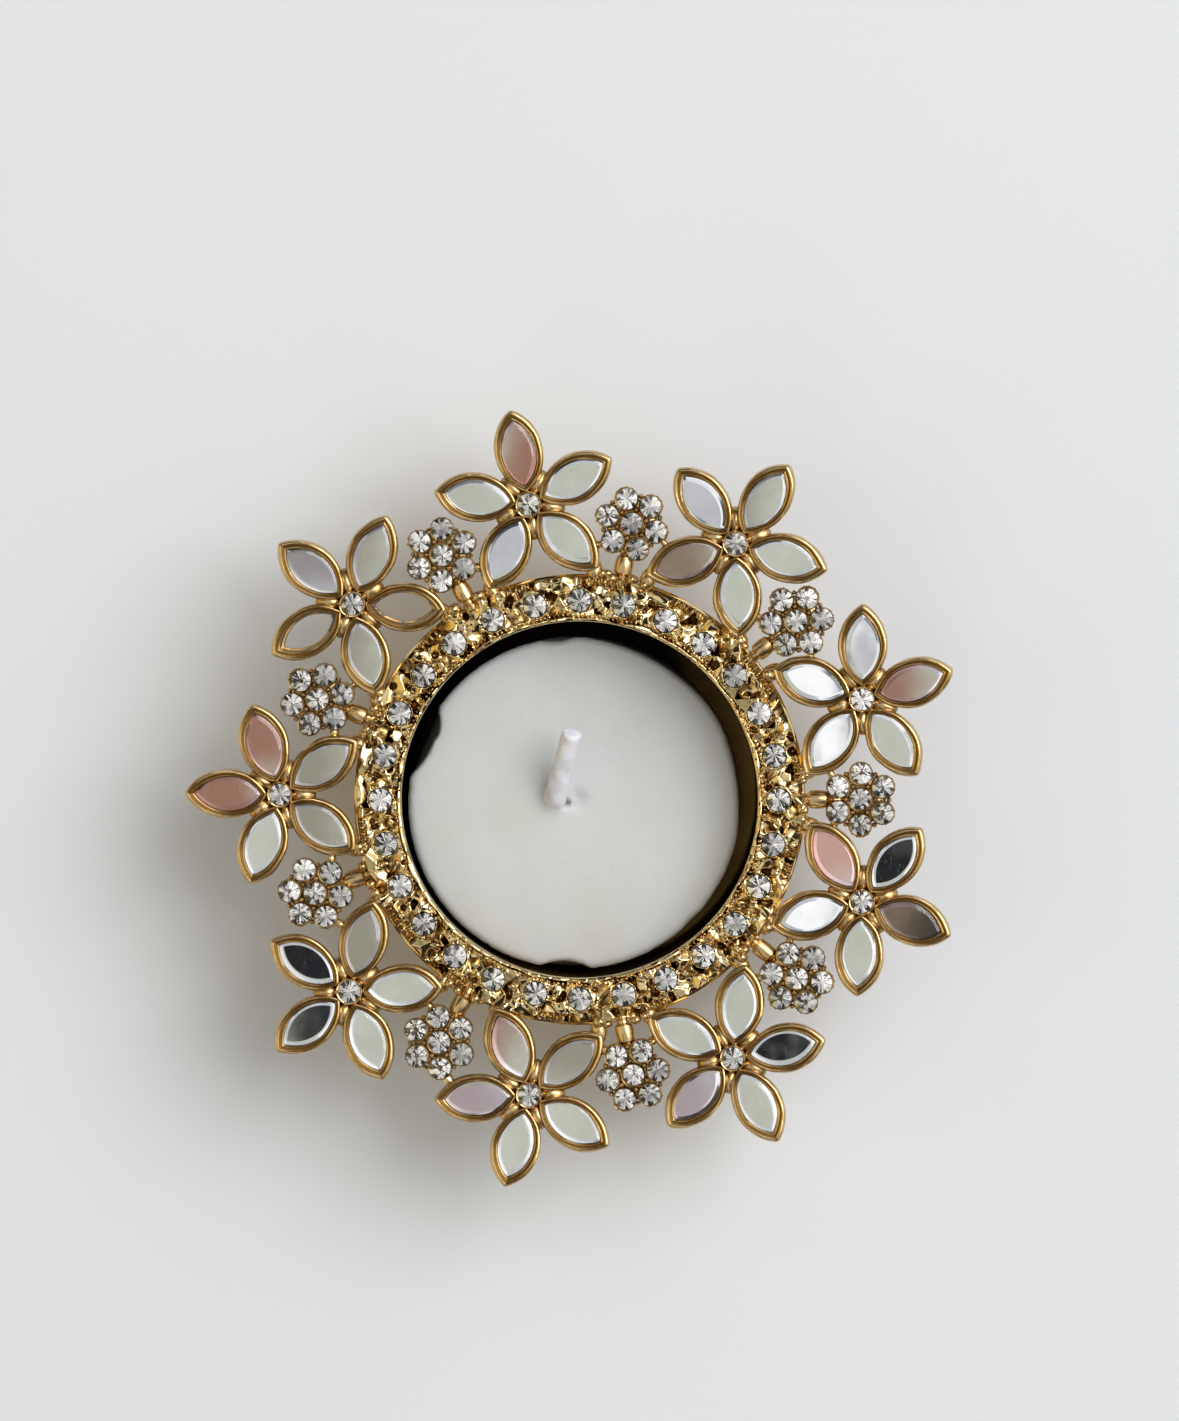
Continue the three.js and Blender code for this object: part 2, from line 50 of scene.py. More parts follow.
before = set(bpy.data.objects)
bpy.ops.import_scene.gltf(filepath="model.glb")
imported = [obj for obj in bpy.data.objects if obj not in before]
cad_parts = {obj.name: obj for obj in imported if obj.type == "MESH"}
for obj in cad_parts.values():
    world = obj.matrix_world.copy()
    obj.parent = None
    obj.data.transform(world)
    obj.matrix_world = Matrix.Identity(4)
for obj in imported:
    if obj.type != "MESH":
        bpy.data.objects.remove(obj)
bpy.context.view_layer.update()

MM = 0.001
FLAT = 0.02 * MM  # points this close in height lie on one face
FACES_UP = 0.97  # a face whose normal rises more than this is an upper one
TIP_REACH = 0.99  # points this far out lie on a petal's tip, as a share of the flower's reach
SAME_CLUSTER = 3.3 * MM  # neighbours in a cluster are nearer than this
SEAT_STRAY = 0.008  # how far a ring crystal strays from its circle, as a share of the circle's radius
STRAY_TURNS = 90  # how quickly that changes from crystal to crystal
FLOWERS = 9
PETALS = 5
PETAL_STEP = 2 * math.pi / PETALS
UP = Vector((0, 0, 1))
SEED = 7
noise.seed_set(SEED)


# Reading the frame


def node_triangles(name):
    """A node's triangles, and for each the vector along its normal that is as long as its area."""
    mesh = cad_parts[name].data
    mesh.calc_loop_triangles()
    places = np.array([vertex.co for vertex in mesh.vertices])
    corners = places[np.array([triangle.vertices for triangle in mesh.loop_triangles])]
    return corners, np.cross(corners[:, 1] - corners[:, 0], corners[:, 2] - corners[:, 0]) / 2


def node_points(name):
    """A node's points, each once."""
    corners, _ = node_triangles(name)
    return np.unique(corners.reshape(-1, 3).round(7), axis=0)


def upper_axis(areas):
    """The axis that the flat upper faces of a node point along."""
    size = np.linalg.norm(areas, axis=1)
    return Vector(areas[areas[:, 2] > FACES_UP * size].sum(0)).normalized()


def own_frame(along, up, origin):
    """A matrix with its X axis along a direction, laid square to up, and its Z axis up."""
    side = up.cross(along).normalized()
    pose = Matrix((side.cross(up), side, up)).transposed().to_4x4()
    pose.translation = origin
    return pose


def in_frame(points, pose):
    """Points of the whole, seen from a pose."""
    return (points - np.array(pose.translation)) @ np.array(pose.to_3x3())


class FlowerPlace:
    """Where a flower lies: its frame at the hub's foot, X outward, its petals' angles and its reach."""

    def __init__(self, number):
        self.node = f"flower_{number}_frame"
        _, areas = node_triangles(self.node)
        points = node_points(self.node)
        up = upper_axis(areas)
        heights = points @ np.array(up)
        table = Vector(points[heights > heights.max() - FLAT].mean(0))
        self.table = heights.max() - heights.min()
        outward = Vector((table.x, table.y, 0))
        self.pose = own_frame(outward, up, table - up * self.table)
        own = in_frame(points, self.pose)
        spread = np.hypot(own[:, 0], own[:, 1])
        self.reach = spread[own[:, 0] > 0].max()
        tips = own[(own[:, 0] > 0) & (spread > TIP_REACH * self.reach)]
        angles = np.arctan2(tips[:, 1], tips[:, 0])
        turn = np.mean((angles + PETAL_STEP / 2) % PETAL_STEP - PETAL_STEP / 2)
        self.angles = [turn + k * PETAL_STEP for k in range(PETALS)]


class MirrorPlace:
    """Where a mirror lies: its frame at the middle of its foot, X along it, and its sizes."""

    def __init__(self, node):
        self.node = node
        _, areas = node_triangles(node)
        points = node_points(node)
        up = upper_axis(areas)
        heights = points @ np.array(up)
        self.thickness = heights.max() - heights.min()
        middle = Vector(points.mean(0))
        middle += up * (heights.min() - middle.dot(up))
        farthest = points[np.argmax(np.linalg.norm(points - np.array(middle), axis=1))]
        self.pose = own_frame(Vector(farthest) - middle, up, middle)
        own = in_frame(points, self.pose)
        self.half_length = np.abs(own[:, 0]).max()
        self.half_width = np.abs(own[:, 1]).max()


def crystal_seats():
    """The middles of the crystals' tables: those in the ring, and each cluster's, its middle one first."""
    corners, _ = node_triangles("crystal_ring")
    top = corners[:, :, 2].max()
    tables = []
    for triangle in corners[corners[:, :, 2].min(1) > top - FLAT].round(7):
        owns = set(map(tuple, triangle))
        touching = [table for table in tables if table & owns]
        tables = [table for table in tables if not table & owns]
        tables.append(owns.union(*touching))
    middles = [Vector(np.mean(list(table), axis=0)) for table in tables]
    ring = sorted((m for m in middles if m.xy.length < RING_OUTER), key=lambda m: math.atan2(m.y, m.x))
    clusters = []
    for middle in (m for m in middles if m.xy.length > RING_OUTER):
        near = [c for c in clusters if any((middle - m).length < SAME_CLUSTER for m in c)]
        clusters = [c for c in clusters if c not in near]
        clusters.append([middle] + [m for c in near for m in c])
    for cluster in clusters:
        centre = sum(cluster, Vector()) / len(cluster)
        cluster.sort(key=lambda m: (m - centre).length)
    clusters.sort(key=lambda c: math.atan2(c[0].y, c[0].x))
    return ring, clusters


def strayed(seat):
    """A ring crystal's place, a little off its circle as set by hand."""
    place = seat * (1 + SEAT_STRAY * noise.noise(seat * STRAY_TURNS))
    place.z = CRYSTAL_TOP
    return place


RING_POINTS = node_points("crystal_ring")
RING_RADII = np.hypot(RING_POINTS[:, 0], RING_POINTS[:, 1])
RING_BORE = RING_RADII.min()
RING_BASE = RING_POINTS[:, 2].min()
RING_OUTER = RING_RADII[RING_POINTS[:, 2] < RING_BASE + FLAT].max()
RING_TOP = RING_POINTS[RING_RADII < RING_BORE + FLAT, 2].max()
CRYSTAL_TOP = RING_POINTS[:, 2].max()
RING_SEATS, CLUSTER_SEATS = crystal_seats()
RING_SEATS = [strayed(seat) for seat in RING_SEATS]
FLOWER_PLACES = [FlowerPlace(number) for number in range(1, FLOWERS + 1)]
MIRROR_PLACES = [MirrorPlace(node) for node in sorted(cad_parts) if "_mirror_" in node]


# Properties: what a user would change


def length(name, description, default):
    """A property in metres."""
    return bpy.props.FloatProperty(
        name=name, description=description, default=default, min=0, unit="LENGTH", precision=5
    )


def angle(name, description, degrees):
    """A property that is an angle, its default in degrees."""
    return bpy.props.FloatProperty(
        name=name, description=description, default=math.radians(degrees), subtype="ANGLE"
    )


def colour(name, description, default):
    """A property that is a colour."""
    return bpy.props.FloatVectorProperty(
        name=name, description=description, default=default, min=0, max=1, subtype="COLOR"
    )


class TealightSizes(bpy.types.PropertyGroup):
    """Fine sizes of the pieces"""

    petal_length: length("Petal length", "A flower frame's petal, from tip to tip", 9.3 * MM)
    petal_width: length("Petal width", "A flower frame's petal, across its middle", 5.5 * MM)
    petal_height: length("Petal height", "A flower frame, from its back to its lip", 2.4 * MM)
    petal_tip: length("Petal tip", "Rounding of a petal's tips", 0.55 * MM)
    bezel_lip: length("Bezel lip", "The rounded lip of a petal's bezel, across", 0.42 * MM)
    bezel_ledge: length("Bezel ledge", "A mirror's ledge, its inner edge from the outline", 1.2 * MM)
    ledge_height: length("Ledge height", "Top of that ledge, over the frame's back", 0.8 * MM)
    bevel_width: length("Mirror bevel width", "A mirror's bevelled rim, across", 0.45 * MM)
    bevel_height: length("Mirror bevel", "Height of a mirror's bevelled rim", 0.14 * MM)
    inner_lip: length("Inner lip", "The ring's smooth inner lip, across", 0.42 * MM)
    outer_border: length("Outer border", "The ring's outer border of bars, across", 0.75 * MM)
    channel_depth: length("Channel depth", "The crystal channel, under the ring's top", 0.8 * MM)
    ring_crystal: length("Ring crystal", "Diameter of a crystal in the ring", 2.6 * MM)
    cluster_crystal: length("Cluster crystal", "Diameter of a crystal in a cluster", 2.5 * MM)
    hub_crystal: length("Hub crystal", "Diameter of the crystal on a flower's hub", 2.5 * MM)
    stem: length("Stem", "Diameter of the barrel between the ring and a cluster", 2.1 * MM)
    wick: length("Wick", "Diameter of the wick", 2.2 * MM)
    cup_wall: length("Cup wall", "Thickness of the cup's sheet", 0.8 * MM)


class TealightColours(bpy.types.PropertyGroup):
    """Colours of the finishes"""

    gold: colour("Gold", "Bright gold plating", (0.71, 0.54, 0.265))
    satin: colour("Satin gold", "The duller plating of the flowers and clusters", (0.62, 0.445, 0.22))
    # Old gold: darkened plating in random patches, and painted shade where it follows the hollows
    old_gold: colour("Old gold", "Plating where it has darkened", (0.41, 0.245, 0.075))
    # Soot: painted shade laid into the hollows of the plating
    soot: colour("Soot", "The dark left in hollows", (0.10, 0.052, 0.009))
    # Lining: the cup's gold inside, darkened as painted shade
    lining: colour("Lining", "The dark inside of the cup", (0.28, 0.175, 0.055))
    silver: colour("Silver", "A mirror's silvering", (0.90, 0.91, 0.90))
    # Rose, dull silver, brown, dark, pink and lilac: tints of a mirror's silvering, partly turned silvering
    # and partly painted reflection
    rose: colour("Rose", "Silvering that has turned rose", (0.51, 0.25, 0.195))
    dull_silver: colour("Dull silver", "Silvering that has turned dull", (0.50, 0.46, 0.42))
    brown: colour("Brown", "Silvering that has turned brown", (0.41, 0.29, 0.24))
    dark: colour("Dark", "Silvering that has turned dark", (0.07, 0.052, 0.046))
    pink: colour("Pink", "Silvering that has turned pink", (0.90, 0.53, 0.50))
    lilac: colour("Lilac", "Silvering that has turned lilac", (0.66, 0.55, 0.52))
    lacquer: colour("Lacquer", "The lacquer on a mirror's back", (0.55, 0.30, 0.10))
    foil: colour("Foil", "The foil behind a crystal", (0.93, 0.915, 0.885))
    wax: colour("Wax", "Candle wax", (0.65, 0.664, 0.66))
    cotton: colour("Cotton", "The wick", (0.84, 0.86, 0.92))
    tin: colour("Tin", "The wick's foot", (0.60, 0.60, 0.58))
    glue: colour("Glue", "Dried glue", (0.45, 0.40, 0.32))
    paper: colour("Paper", "The floor", (0.75, 0.768, 0.795))


class TealightStage(bpy.types.PropertyGroup):
    """Camera and light"""

    camera_height: length("Camera height", "The camera over the floor", 0.6)
    camera_lean: angle("Camera lean", "How far the camera looks from upright", 2.1)
    camera_side: angle("Camera side", "The side that the camera stands on", 45)
    frame_height: length("Frame height", "What the picture's height shows at the ring", 157.4 * MM)
    key_elevation: angle("Key elevation", "The key light over the horizon", 54)
    key_side: angle("Key side", "The side that the key light stands on", 27)
    key_distance: length("Key distance", "From the object to the key light", 1.4)
    key_size: length("Key size", "Width of the key light", 1.0)
    key_power: bpy.props.FloatProperty(
        name="Key power", description="Watts of the key light", default=11.0, min=0, unit="POWER"
    )


# Node trees


class Value:
    """A socket of a node tree. Arithmetic on it adds Math nodes."""

    def __init__(self, nodes, socket):
        self.nodes = nodes
        self.socket = socket

    def maths(self, operation, first, second):
        """Adds a Math node."""
        return self.nodes.node("ShaderNodeMath", {"operation": operation}, {0: first, 1: second})

    def __add__(self, other):
        return self.maths("ADD", self, other)

    def __radd__(self, other):
        return self.maths("ADD", other, self)

    def __sub__(self, other):
        return self.maths("SUBTRACT", self, other)

    def __rsub__(self, other):
        return self.maths("SUBTRACT", other, self)

    def __mul__(self, other):
        return self.maths("MULTIPLY", self, other)

    def __rmul__(self, other):
        return self.maths("MULTIPLY", other, self)

    def __truediv__(self, other):
        return self.maths("DIVIDE", self, other)

    def __pow__(self, other):
        return self.maths("POWER", self, other)

    def between(self, low, high):
        """0 under low, 1 over high and a smooth way between."""
        sockets = {"Value": self, "From Min": low, "From Max": high}
        return self.nodes.node("ShaderNodeMapRange", {"interpolation_type": "SMOOTHSTEP"}, sockets)


class Nodes:
    """A node tree under construction."""

    def __init__(self, tree):
        self.tree = tree
        tree.nodes.clear()

    def feed(self, socket, value):
        """Links a socket to a Value, or sets it."""
        if isinstance(value, Value):
            self.tree.links.new(value.socket, socket)
        elif socket.type == "RGBA":
            socket.default_value = (*value[:3], 1)
        else:
            socket.default_value = value

    def node(self, kind, settings=None, sockets=None, output=0):
        """Adds a node, with its settings first, then the values or links of its sockets."""
        made = self.tree.nodes.new(kind)
        for name, value in (settings or {}).items():
            setattr(made, name, value)
        for name, value in (sockets or {}).items():
            self.feed(made.inputs[name], value)
        return Value(self, made.outputs[output])

    def mix(self, factor, first, second):
        """A colour between two colours."""
        settings = {"data_type": "RGBA", "clamp_factor": True}
        return self.node("ShaderNodeMix", settings, {0: factor, 6: first, 7: second}, output=2)

    def place(self, kind="Object"):
        """Where a point lies on its piece, or a ray's direction in the room."""
        return self.node("ShaderNodeTexCoord", output=kind)

    def along(self, axis, vector):
        """How far a vector reaches along X, Y or Z."""
        return self.node("ShaderNodeSeparateXYZ", None, {0: vector}, axis)

    def stretched(self, vector, by):
        """A vector with each part times its own number, so that noise is drawn out along an axis."""
        return self.node("ShaderNodeVectorMath", {"operation": "MULTIPLY"}, {0: vector, 1: by})

    def noise(self, size, detail, roughness=0.5, vector=None):
        """Noise whose lumps are about a size across."""
        sockets = {
            "Vector": vector or self.place(),
            "Scale": 1 / size,
            "Detail": detail,
            "Roughness": roughness,
        }
        return self.node("ShaderNodeTexNoise", None, sockets)

    def cells(self, size, feature="F1"):
        """How far each place lies from its cell's middle or edge."""
        sockets = {"Vector": self.place(), "Scale": 1 / size}
        return self.node("ShaderNodeTexVoronoi", {"feature": feature}, sockets)

    def attribute(self, name):
        """A number that each point of a mesh carries."""
        return self.node("ShaderNodeAttribute", {"attribute_name": name}, output="Fac")


class Finish(Nodes):
    """A material under construction, with its shader."""

    def __init__(self, name, constants):
        self.material = bpy.data.materials.new(name)
        self.material.use_nodes = True
        super().__init__(self.material.node_tree)
        self.shader = self.tree.nodes.new("ShaderNodeBsdfPrincipled")
        self.output = self.tree.nodes.new("ShaderNodeOutputMaterial")
        self.tree.links.new(self.shader.outputs["BSDF"], self.output.inputs["Surface"])
        for socket, value in constants.items():
            self.set(socket, value)

    def set(self, socket, value):
        """Feeds a socket of the shader."""
        self.feed(self.shader.inputs[socket], value)

    def bump(self, height, depth, strength=1.0):
        """Feeds the normal from a height of 0 to 1 that stands for a depth."""
        sockets = {"Height": height, "Distance": depth, "Strength": strength}
        self.set("Normal", self.node("ShaderNodeBump", None, sockets))

    def veil(self, factor, tint):
        """Lays a matt film over the shader."""
        overlay = self.node("ShaderNodeBsdfDiffuse", None, {"Color": tint})
        under = Value(self, self.shader.outputs["BSDF"])
        veiled = self.node("ShaderNodeMixShader", None, {0: factor, 1: under, 2: overlay})
        self.feed(self.output.inputs["Surface"], veiled)


# Finishes


def made_once(make):
    """A finish is made when it is first asked for, and kept."""
    kept = []

    def finish():
        if not kept:
            kept.append(make(bpy.context.scene.tealight_colours))
        return kept[0]

    return finish


def plating(name, bright, colours, matt, coat):
    """Gold plating on a lumpy casting, old gold in random patches, and painted shade darkening its hollows.
    """
    finish = Finish(name, {"Metallic": 1.0, "Coat Weight": coat, "Coat Roughness": 0.06})
    lumps = finish.noise(1.6 * MM, detail=2)
    grain = finish.noise(0.18 * MM, detail=2)
    hollow = finish.attribute("hollow")
    # Old gold follows random lumps, and follows the hollows as painted shade
    worn = (lumps + hollow * 0.6).between(0.45, 0.95)
    gold = finish.mix(worn, bright, colours.old_gold)
    # Painted shade: the hollows turn towards the darkest colour
    finish.set("Base Color", finish.mix(hollow.between(0.4, 1.25), gold, colours.soot))
    finish.set("Roughness", matt + hollow * 0.15 + grain * 0.08)
    finish.bump(lumps * 0.8 + grain * 0.06, depth=0.05 * MM)
    return finish.material


@made_once
def cast_gold(colours):
    """The bright plating of the ring and the solder."""
    return plating("cast_gold", colours.gold, colours, matt=0.07, coat=0.5)


@made_once
def satin_gold(colours):
    """The plating of the flowers and the clusters, duller than the ring's."""
    return plating("satin_gold", colours.satin, colours, matt=0.22, coat=0.0)


@made_once
def spun_gold(colours):
    """Plated sheet, with the fine rings left by spinning."""
    finish = Finish("spun_gold", {"Metallic": 1.0})
    rings = finish.noise(0.25 * MM, detail=2, vector=finish.stretched(finish.place(), (0.02, 0.02, 1)))
    stains = finish.noise(6 * MM, detail=4)
    bright = tuple(part * tint for part, tint in zip(colours.gold, (1.1, 1.0, 0.75)))
    finish.set("Base Color", finish.mix(stains.between(0.45, 0.8), bright, colours.old_gold))
    finish.set("Roughness", 0.22 + rings * 0.14 + stains * 0.08)
    finish.bump(rings, depth=0.01 * MM)
    return finish.material


@made_once
def dark_lining(colours):
    """The cup's inside: dark plating that paints the shade in the cup, darker still towards -X and +Y, in
    blotches.
    """
    finish = Finish("dark_lining", {"Metallic": 1.0})
    soot = finish.noise(5 * MM, detail=4)
    place = finish.place()
    x = finish.along("X", place)
    y = finish.along("Y", place)
    # Painted shade: darker towards -X and +Y, in blotches, down to near black
    painted_shade = ((y * 0.7 - x * 0.7) / (20 * MM) + soot - 0.5).between(-0.5, 0.3)
    finish.set("Base Color", finish.mix(painted_shade, colours.lining, (0.012, 0.009, 0.006)))
    finish.set("Roughness", 0.3 + soot * 0.3)
    finish.bump(soot, depth=0.05 * MM)
    return finish.material


def pane(name, ground):
    """Clear glass, polished or ground, with faint dust, smears and hairlines on it."""
    constants = {"Transmission Weight": 1.0, "IOR": 1.5, "Base Color": (1, 1, 1)}
    finish = Finish(name, constants)
    dust = finish.noise(0.3 * MM, detail=3).between(0.64, 0.74)
    smears = finish.noise(2.2 * MM, detail=4).between(0.52, 0.80)
    drawn_out = finish.stretched(finish.place(), (1, 0.06, 1))
    hairs = finish.noise(0.16 * MM, detail=2, vector=drawn_out).between(0.66, 0.76)
    finish.set("Roughness", ground + dust * 0.03 + hairs * 0.03)
    finish.veil(dust * 0.12 + smears * 0.07 + hairs * 0.10, (0.72, 0.72, 0.72))
    return finish.material


@made_once
def mirror_face(_):
    """The polished face of a mirror's glass."""
    return pane("mirror_face", ground=0.0)


@made_once
def mirror_bevel(_):
    """The ground bevel round a mirror's face."""
    return pane("mirror_bevel", ground=0.10)


def silver_sheet(name, clear, mirror_tint):
    """The silvering behind a mirror's glass, dull in clouds, and tinted where it has turned and where it
    paints a reflection.
    """
    finish = Finish(name, {"Metallic": 1.0})
    clouds = finish.noise(3.5 * MM, detail=3)
    dull = tuple(0.90 * part for part in clear)
    silver = finish.mix(clouds.between(0.3, 0.8), clear, dull)
    spread = finish.attribute("hollow") + (clouds - 0.5) * 0.4
    finish.set("Base Color", finish.mix(spread.between(0.05, 0.95), silver, mirror_tint))
    finish.set("Roughness", 0.01 + clouds * 0.02)
    finish.bump(finish.noise(5 * MM, detail=1), depth=0.012 * MM)
    return finish.material


def silvering(name, clear, mirror_tint):
    """What makes a silvering of one of the colours, tinted towards another as turned silvering and painted
    reflection.
    """

    @made_once
    def finish(colours):
        return silver_sheet(name, getattr(colours, clear), getattr(colours, mirror_tint))

    return finish


rose_silver = silvering("rose_silver", "silver", "rose")
dull_silver = silvering("dull_silver", "silver", "dull_silver")
brown_silver = silvering("brown_silver", "silver", "brown")
pink_silver = silvering("pink_silver", "silver", "pink")
dark_silver = silvering("dark_silver", "brown", "dark")
lilac_silver = silvering("lilac_silver", "silver", "lilac")


@made_once
def back_lacquer(colours):
    """The copper-brown lacquer on a mirror's back, with brush marks."""
    finish = Finish("back_lacquer", {"Coat Weight": 0.3, "Coat Roughness": 0.25})
    brushed = finish.noise(0.3 * MM, detail=3, vector=finish.stretched(finish.place(), (1, 0.15, 1)))
    worn = finish.noise(2.0 * MM, detail=4)
    thin = tuple(0.6 * part for part in colours.lacquer)
    finish.set("Base Color", finish.mix((worn * brushed).between(0.15, 0.4), thin, colours.lacquer))
    finish.set("Roughness", 0.35 + brushed * 0.3)
    finish.bump(brushed, depth=0.02 * MM)
    return finish.material


@made_once
def crystal_glass(_):
    """Clear cut glass, faintly rubbed."""
    constants = {"Transmission Weight": 1.0, "IOR": 1.58, "Base Color": (1, 1, 1)}
    finish = Finish("crystal_glass", constants)
    rubbed = finish.noise(0.4 * MM, detail=3)
    finish.set("Roughness", rubbed.between(0.55, 0.9) * 0.05)
    return finish.material


@made_once
def crystal_foil(colours):
    """The foil on the back of a crystal, dull in spots."""
    finish = Finish("crystal_foil", {"Metallic": 1.0})
    spots = finish.noise(0.3 * MM, detail=3)
    patches = finish.noise(2.4 * MM, detail=1)
    grey = tuple(0.66 * part for part in colours.foil)
    dull = patches.between(0.40, 0.60) * 0.8 + spots.between(0.55, 0.75) * 0.4
    finish.set("Base Color", finish.mix(dull, colours.foil, grey))
    finish.set("Roughness", 0.04 + spots * 0.06)
    return finish.material


@made_once
def candle_wax(colours):
    """Cloudy wax, a little yellow in its thick parts, with pits and scratches on it, and a painted shadow
    that darkens it towards +X and +Y.
    """
    constants = {
        "Subsurface Weight": 0.8,
        "Subsurface Radius": (1.0, 0.95, 0.85),
        "Subsurface Scale": 3.2 * MM,
        "Specular IOR Level": 0.35,
    }
    finish = Finish("candle_wax", constants)
    clouds = finish.noise(9 * MM, detail=4)
    scuffs = finish.noise(0.9 * MM, detail=5, roughness=0.6)
    drawn_out = finish.stretched(finish.place(), (1, 0.12, 1))
    scratches = finish.noise(0.5 * MM, detail=3, vector=drawn_out).between(0.64, 0.74)
    pits = 1 - finish.cells(1.9 * MM).between(0.02, 0.1)
    warm = tuple(part * tint for part, tint in zip(colours.wax, (0.97, 0.955, 0.90)))
    place = finish.place()
    x = finish.along("X", place)
    y = finish.along("Y", place)
    # Painted shadow: the wax darkens towards +X and +Y, where the ring's shadow falls
    overlay = ((x * 0.7 + y * 0.7) / (18 * MM)).between(0.1, 1.0)
    shadowed_wax = tuple(part * 0.80 for part in colours.wax)
    base = finish.mix(overlay, finish.mix(clouds.between(0.35, 0.75), colours.wax, warm), shadowed_wax)
    finish.set("Base Color", finish.mix(pits * 0.25, base, colours.glue))
    finish.set("Roughness", 0.42 + scuffs * 0.18 - scratches * 0.1)
    finish.bump(scuffs * 0.5 + clouds - pits * 0.5 - scratches * 0.25, depth=0.05 * MM)
    return finish.material


@made_once
def wick_cotton(colours):
    """Waxed cotton, its fibres drawn out upwards."""
    finish = Finish("wick_cotton", {"Subsurface Weight": 0.3, "Subsurface Scale": 0.6 * MM})
    fibres = finish.noise(0.1 * MM, detail=3, vector=finish.stretched(finish.place(), (1, 1, 0.25)))
    soaked = finish.noise(1.5 * MM, detail=3)
    waxed = tuple(part * tint for part, tint in zip(colours.cotton, (0.86, 0.85, 0.88)))
    finish.set("Base Color", finish.mix(soaked.between(0.4, 0.7), colours.cotton, waxed))
    finish.set("Roughness", 0.85 - soaked * 0.35)
    finish.bump(fibres, depth=0.06 * MM)
    return finish.material


@made_once
def tin_plate(colours):
    """Stamped tin with a rolled grain and wax stains."""
    finish = Finish("tin_plate", {"Metallic": 1.0})
    grain = finish.noise(0.2 * MM, detail=3, vector=finish.stretched(finish.place(), (0.05, 1, 1)))
    stains = finish.noise(3 * MM, detail=4)
    dull = tuple(0.6 * part for part in colours.tin)
    finish.set("Base Color", finish.mix(stains.between(0.45, 0.75), colours.tin, dull))
    finish.set("Roughness", 0.25 + grain * 0.2)
    finish.bump(grain, depth=0.01 * MM)
    return finish.material


@made_once
def dried_glue(colours):
    """Glue gone brown and crazed."""
    finish = Finish("dried_glue", {"Subsurface Weight": 0.2, "Subsurface Scale": 0.4 * MM})
    cracks = finish.cells(0.35 * MM, "DISTANCE_TO_EDGE").between(0.0, 0.12)
    clouds = finish.noise(0.6 * MM, detail=4)
    dark = tuple(0.35 * part for part in colours.glue)
    finish.set("Base Color", finish.mix(cracks * clouds.between(0.3, 0.7), dark, colours.glue))
    finish.set("Roughness", 0.35 + clouds * 0.3)
    finish.bump(cracks + clouds, depth=0.08 * MM)
    return finish.material


@made_once
def floor_paper(colours):
    """Matt paper with a soft tooth."""
    finish = Finish("floor_paper", {"Specular IOR Level": 0.2})
    tooth = finish.noise(1.2 * MM, detail=5)
    clouds = finish.noise(60 * MM, detail=3)
    grey = tuple(0.97 * part for part in colours.paper)
    finish.set("Base Color", finish.mix(clouds, colours.paper, grey))
    finish.set("Roughness", 0.8 + tooth * 0.15)
    finish.bump(tooth, depth=0.05 * MM, strength=0.3)
    return finish.material


# Shapes


class Shape:
    """A closed mesh under construction.

    It has points and faces, how hollow each point lies, which paints shade into the plating, and which finish
    each face has.
    On a mirror, hollow says how far its tint has spread at each point: partly turned silvering, partly
    painted reflection.
    """

    def __init__(self, points, faces, hollow=0.0, finish=0):
        self.points = np.asarray(points, float)
        self.faces = list(faces)
        self.hollow = np.broadcast_to(hollow, len(self.points)).astype(float)
        self.finish = np.broadcast_to(finish, len(self.faces)).astype(int)

    def moved(self, matrix):
        """A copy of the shape, moved."""
        turn = np.array(matrix.to_3x3())
        points = self.points @ turn.T + np.array(matrix.translation)
        return Shape(points, self.faces, self.hollow, self.finish)


def together(shapes):
    """Several shapes as one."""
    start = np.cumsum([0] + [len(shape.points) for shape in shapes])
    faces = [tuple(i + first for i in face) for shape, first in zip(shapes, start) for face in shape.faces]
    return Shape(
        np.concatenate([shape.points for shape in shapes]),
        faces,
        np.concatenate([shape.hollow for shape in shapes]),
        np.concatenate([shape.finish for shape in shapes]),
    )


def lofted(rings, looped=False, hollow=None):
    """Joins rings of as many points each. The last ring joins the first, or both are closed by a face."""
    rows, count = len(rings), len(rings[0])
    faces = []
    for row in range(rows if looped else rows - 1):
        a = row * count
        b = (row + 1) % rows * count
        faces.extend((a + i, a + (i + 1) % count, b + (i + 1) % count, b + i) for i in range(count))
    if not looped:
        faces.append(tuple(range(count))[::-1])
        faces.append(tuple(range((rows - 1) * count, rows * count)))
    shade = 0.0 if hollow is None else np.repeat(hollow, count)
    return Shape(np.concatenate(rings), faces, shade)


def turned(profile, sides, hollow=None):
    """A profile of [radius, height] pairs, none on the axis, turned about Z."""
    around = np.linspace(0, 2 * math.pi, sides, endpoint=False)
    ring = np.stack([np.cos(around), np.sin(around), np.zeros(sides)], axis=1)
    rings = [ring * radius + (0, 0, height) for radius, height in profile]
    return lofted(rings, hollow=hollow)


BEAD_END = 1.45  # radians, where a bead's rings end, short of its poles


def bead(width, depth, height, sides=10):
    """A round lump about the origin."""
    rise = np.linspace(-BEAD_END, BEAD_END, sides // 2 + 2)
    shape = turned([(math.cos(a), math.sin(a)) for a in rise], sides)
    shape.points *= (width / 2, depth / 2, height / 2)
    return shape


NOISE_STRIDE = (3.7, 1.3, 5.1)  # from one seed's place in the noise to the next one's


def roughened(shape, size, amount, seed):
    """Moves a shape's points by smooth noise, as hand work and casting do."""
    shift = Vector([seed * stride for stride in NOISE_STRIDE])
    moves = [noise.noise_vector(Vector(point) / size + shift) for point in shape.points]
    return Shape(shape.points + np.array(moves) * amount, shape.faces, shape.hollow, shape.finish)


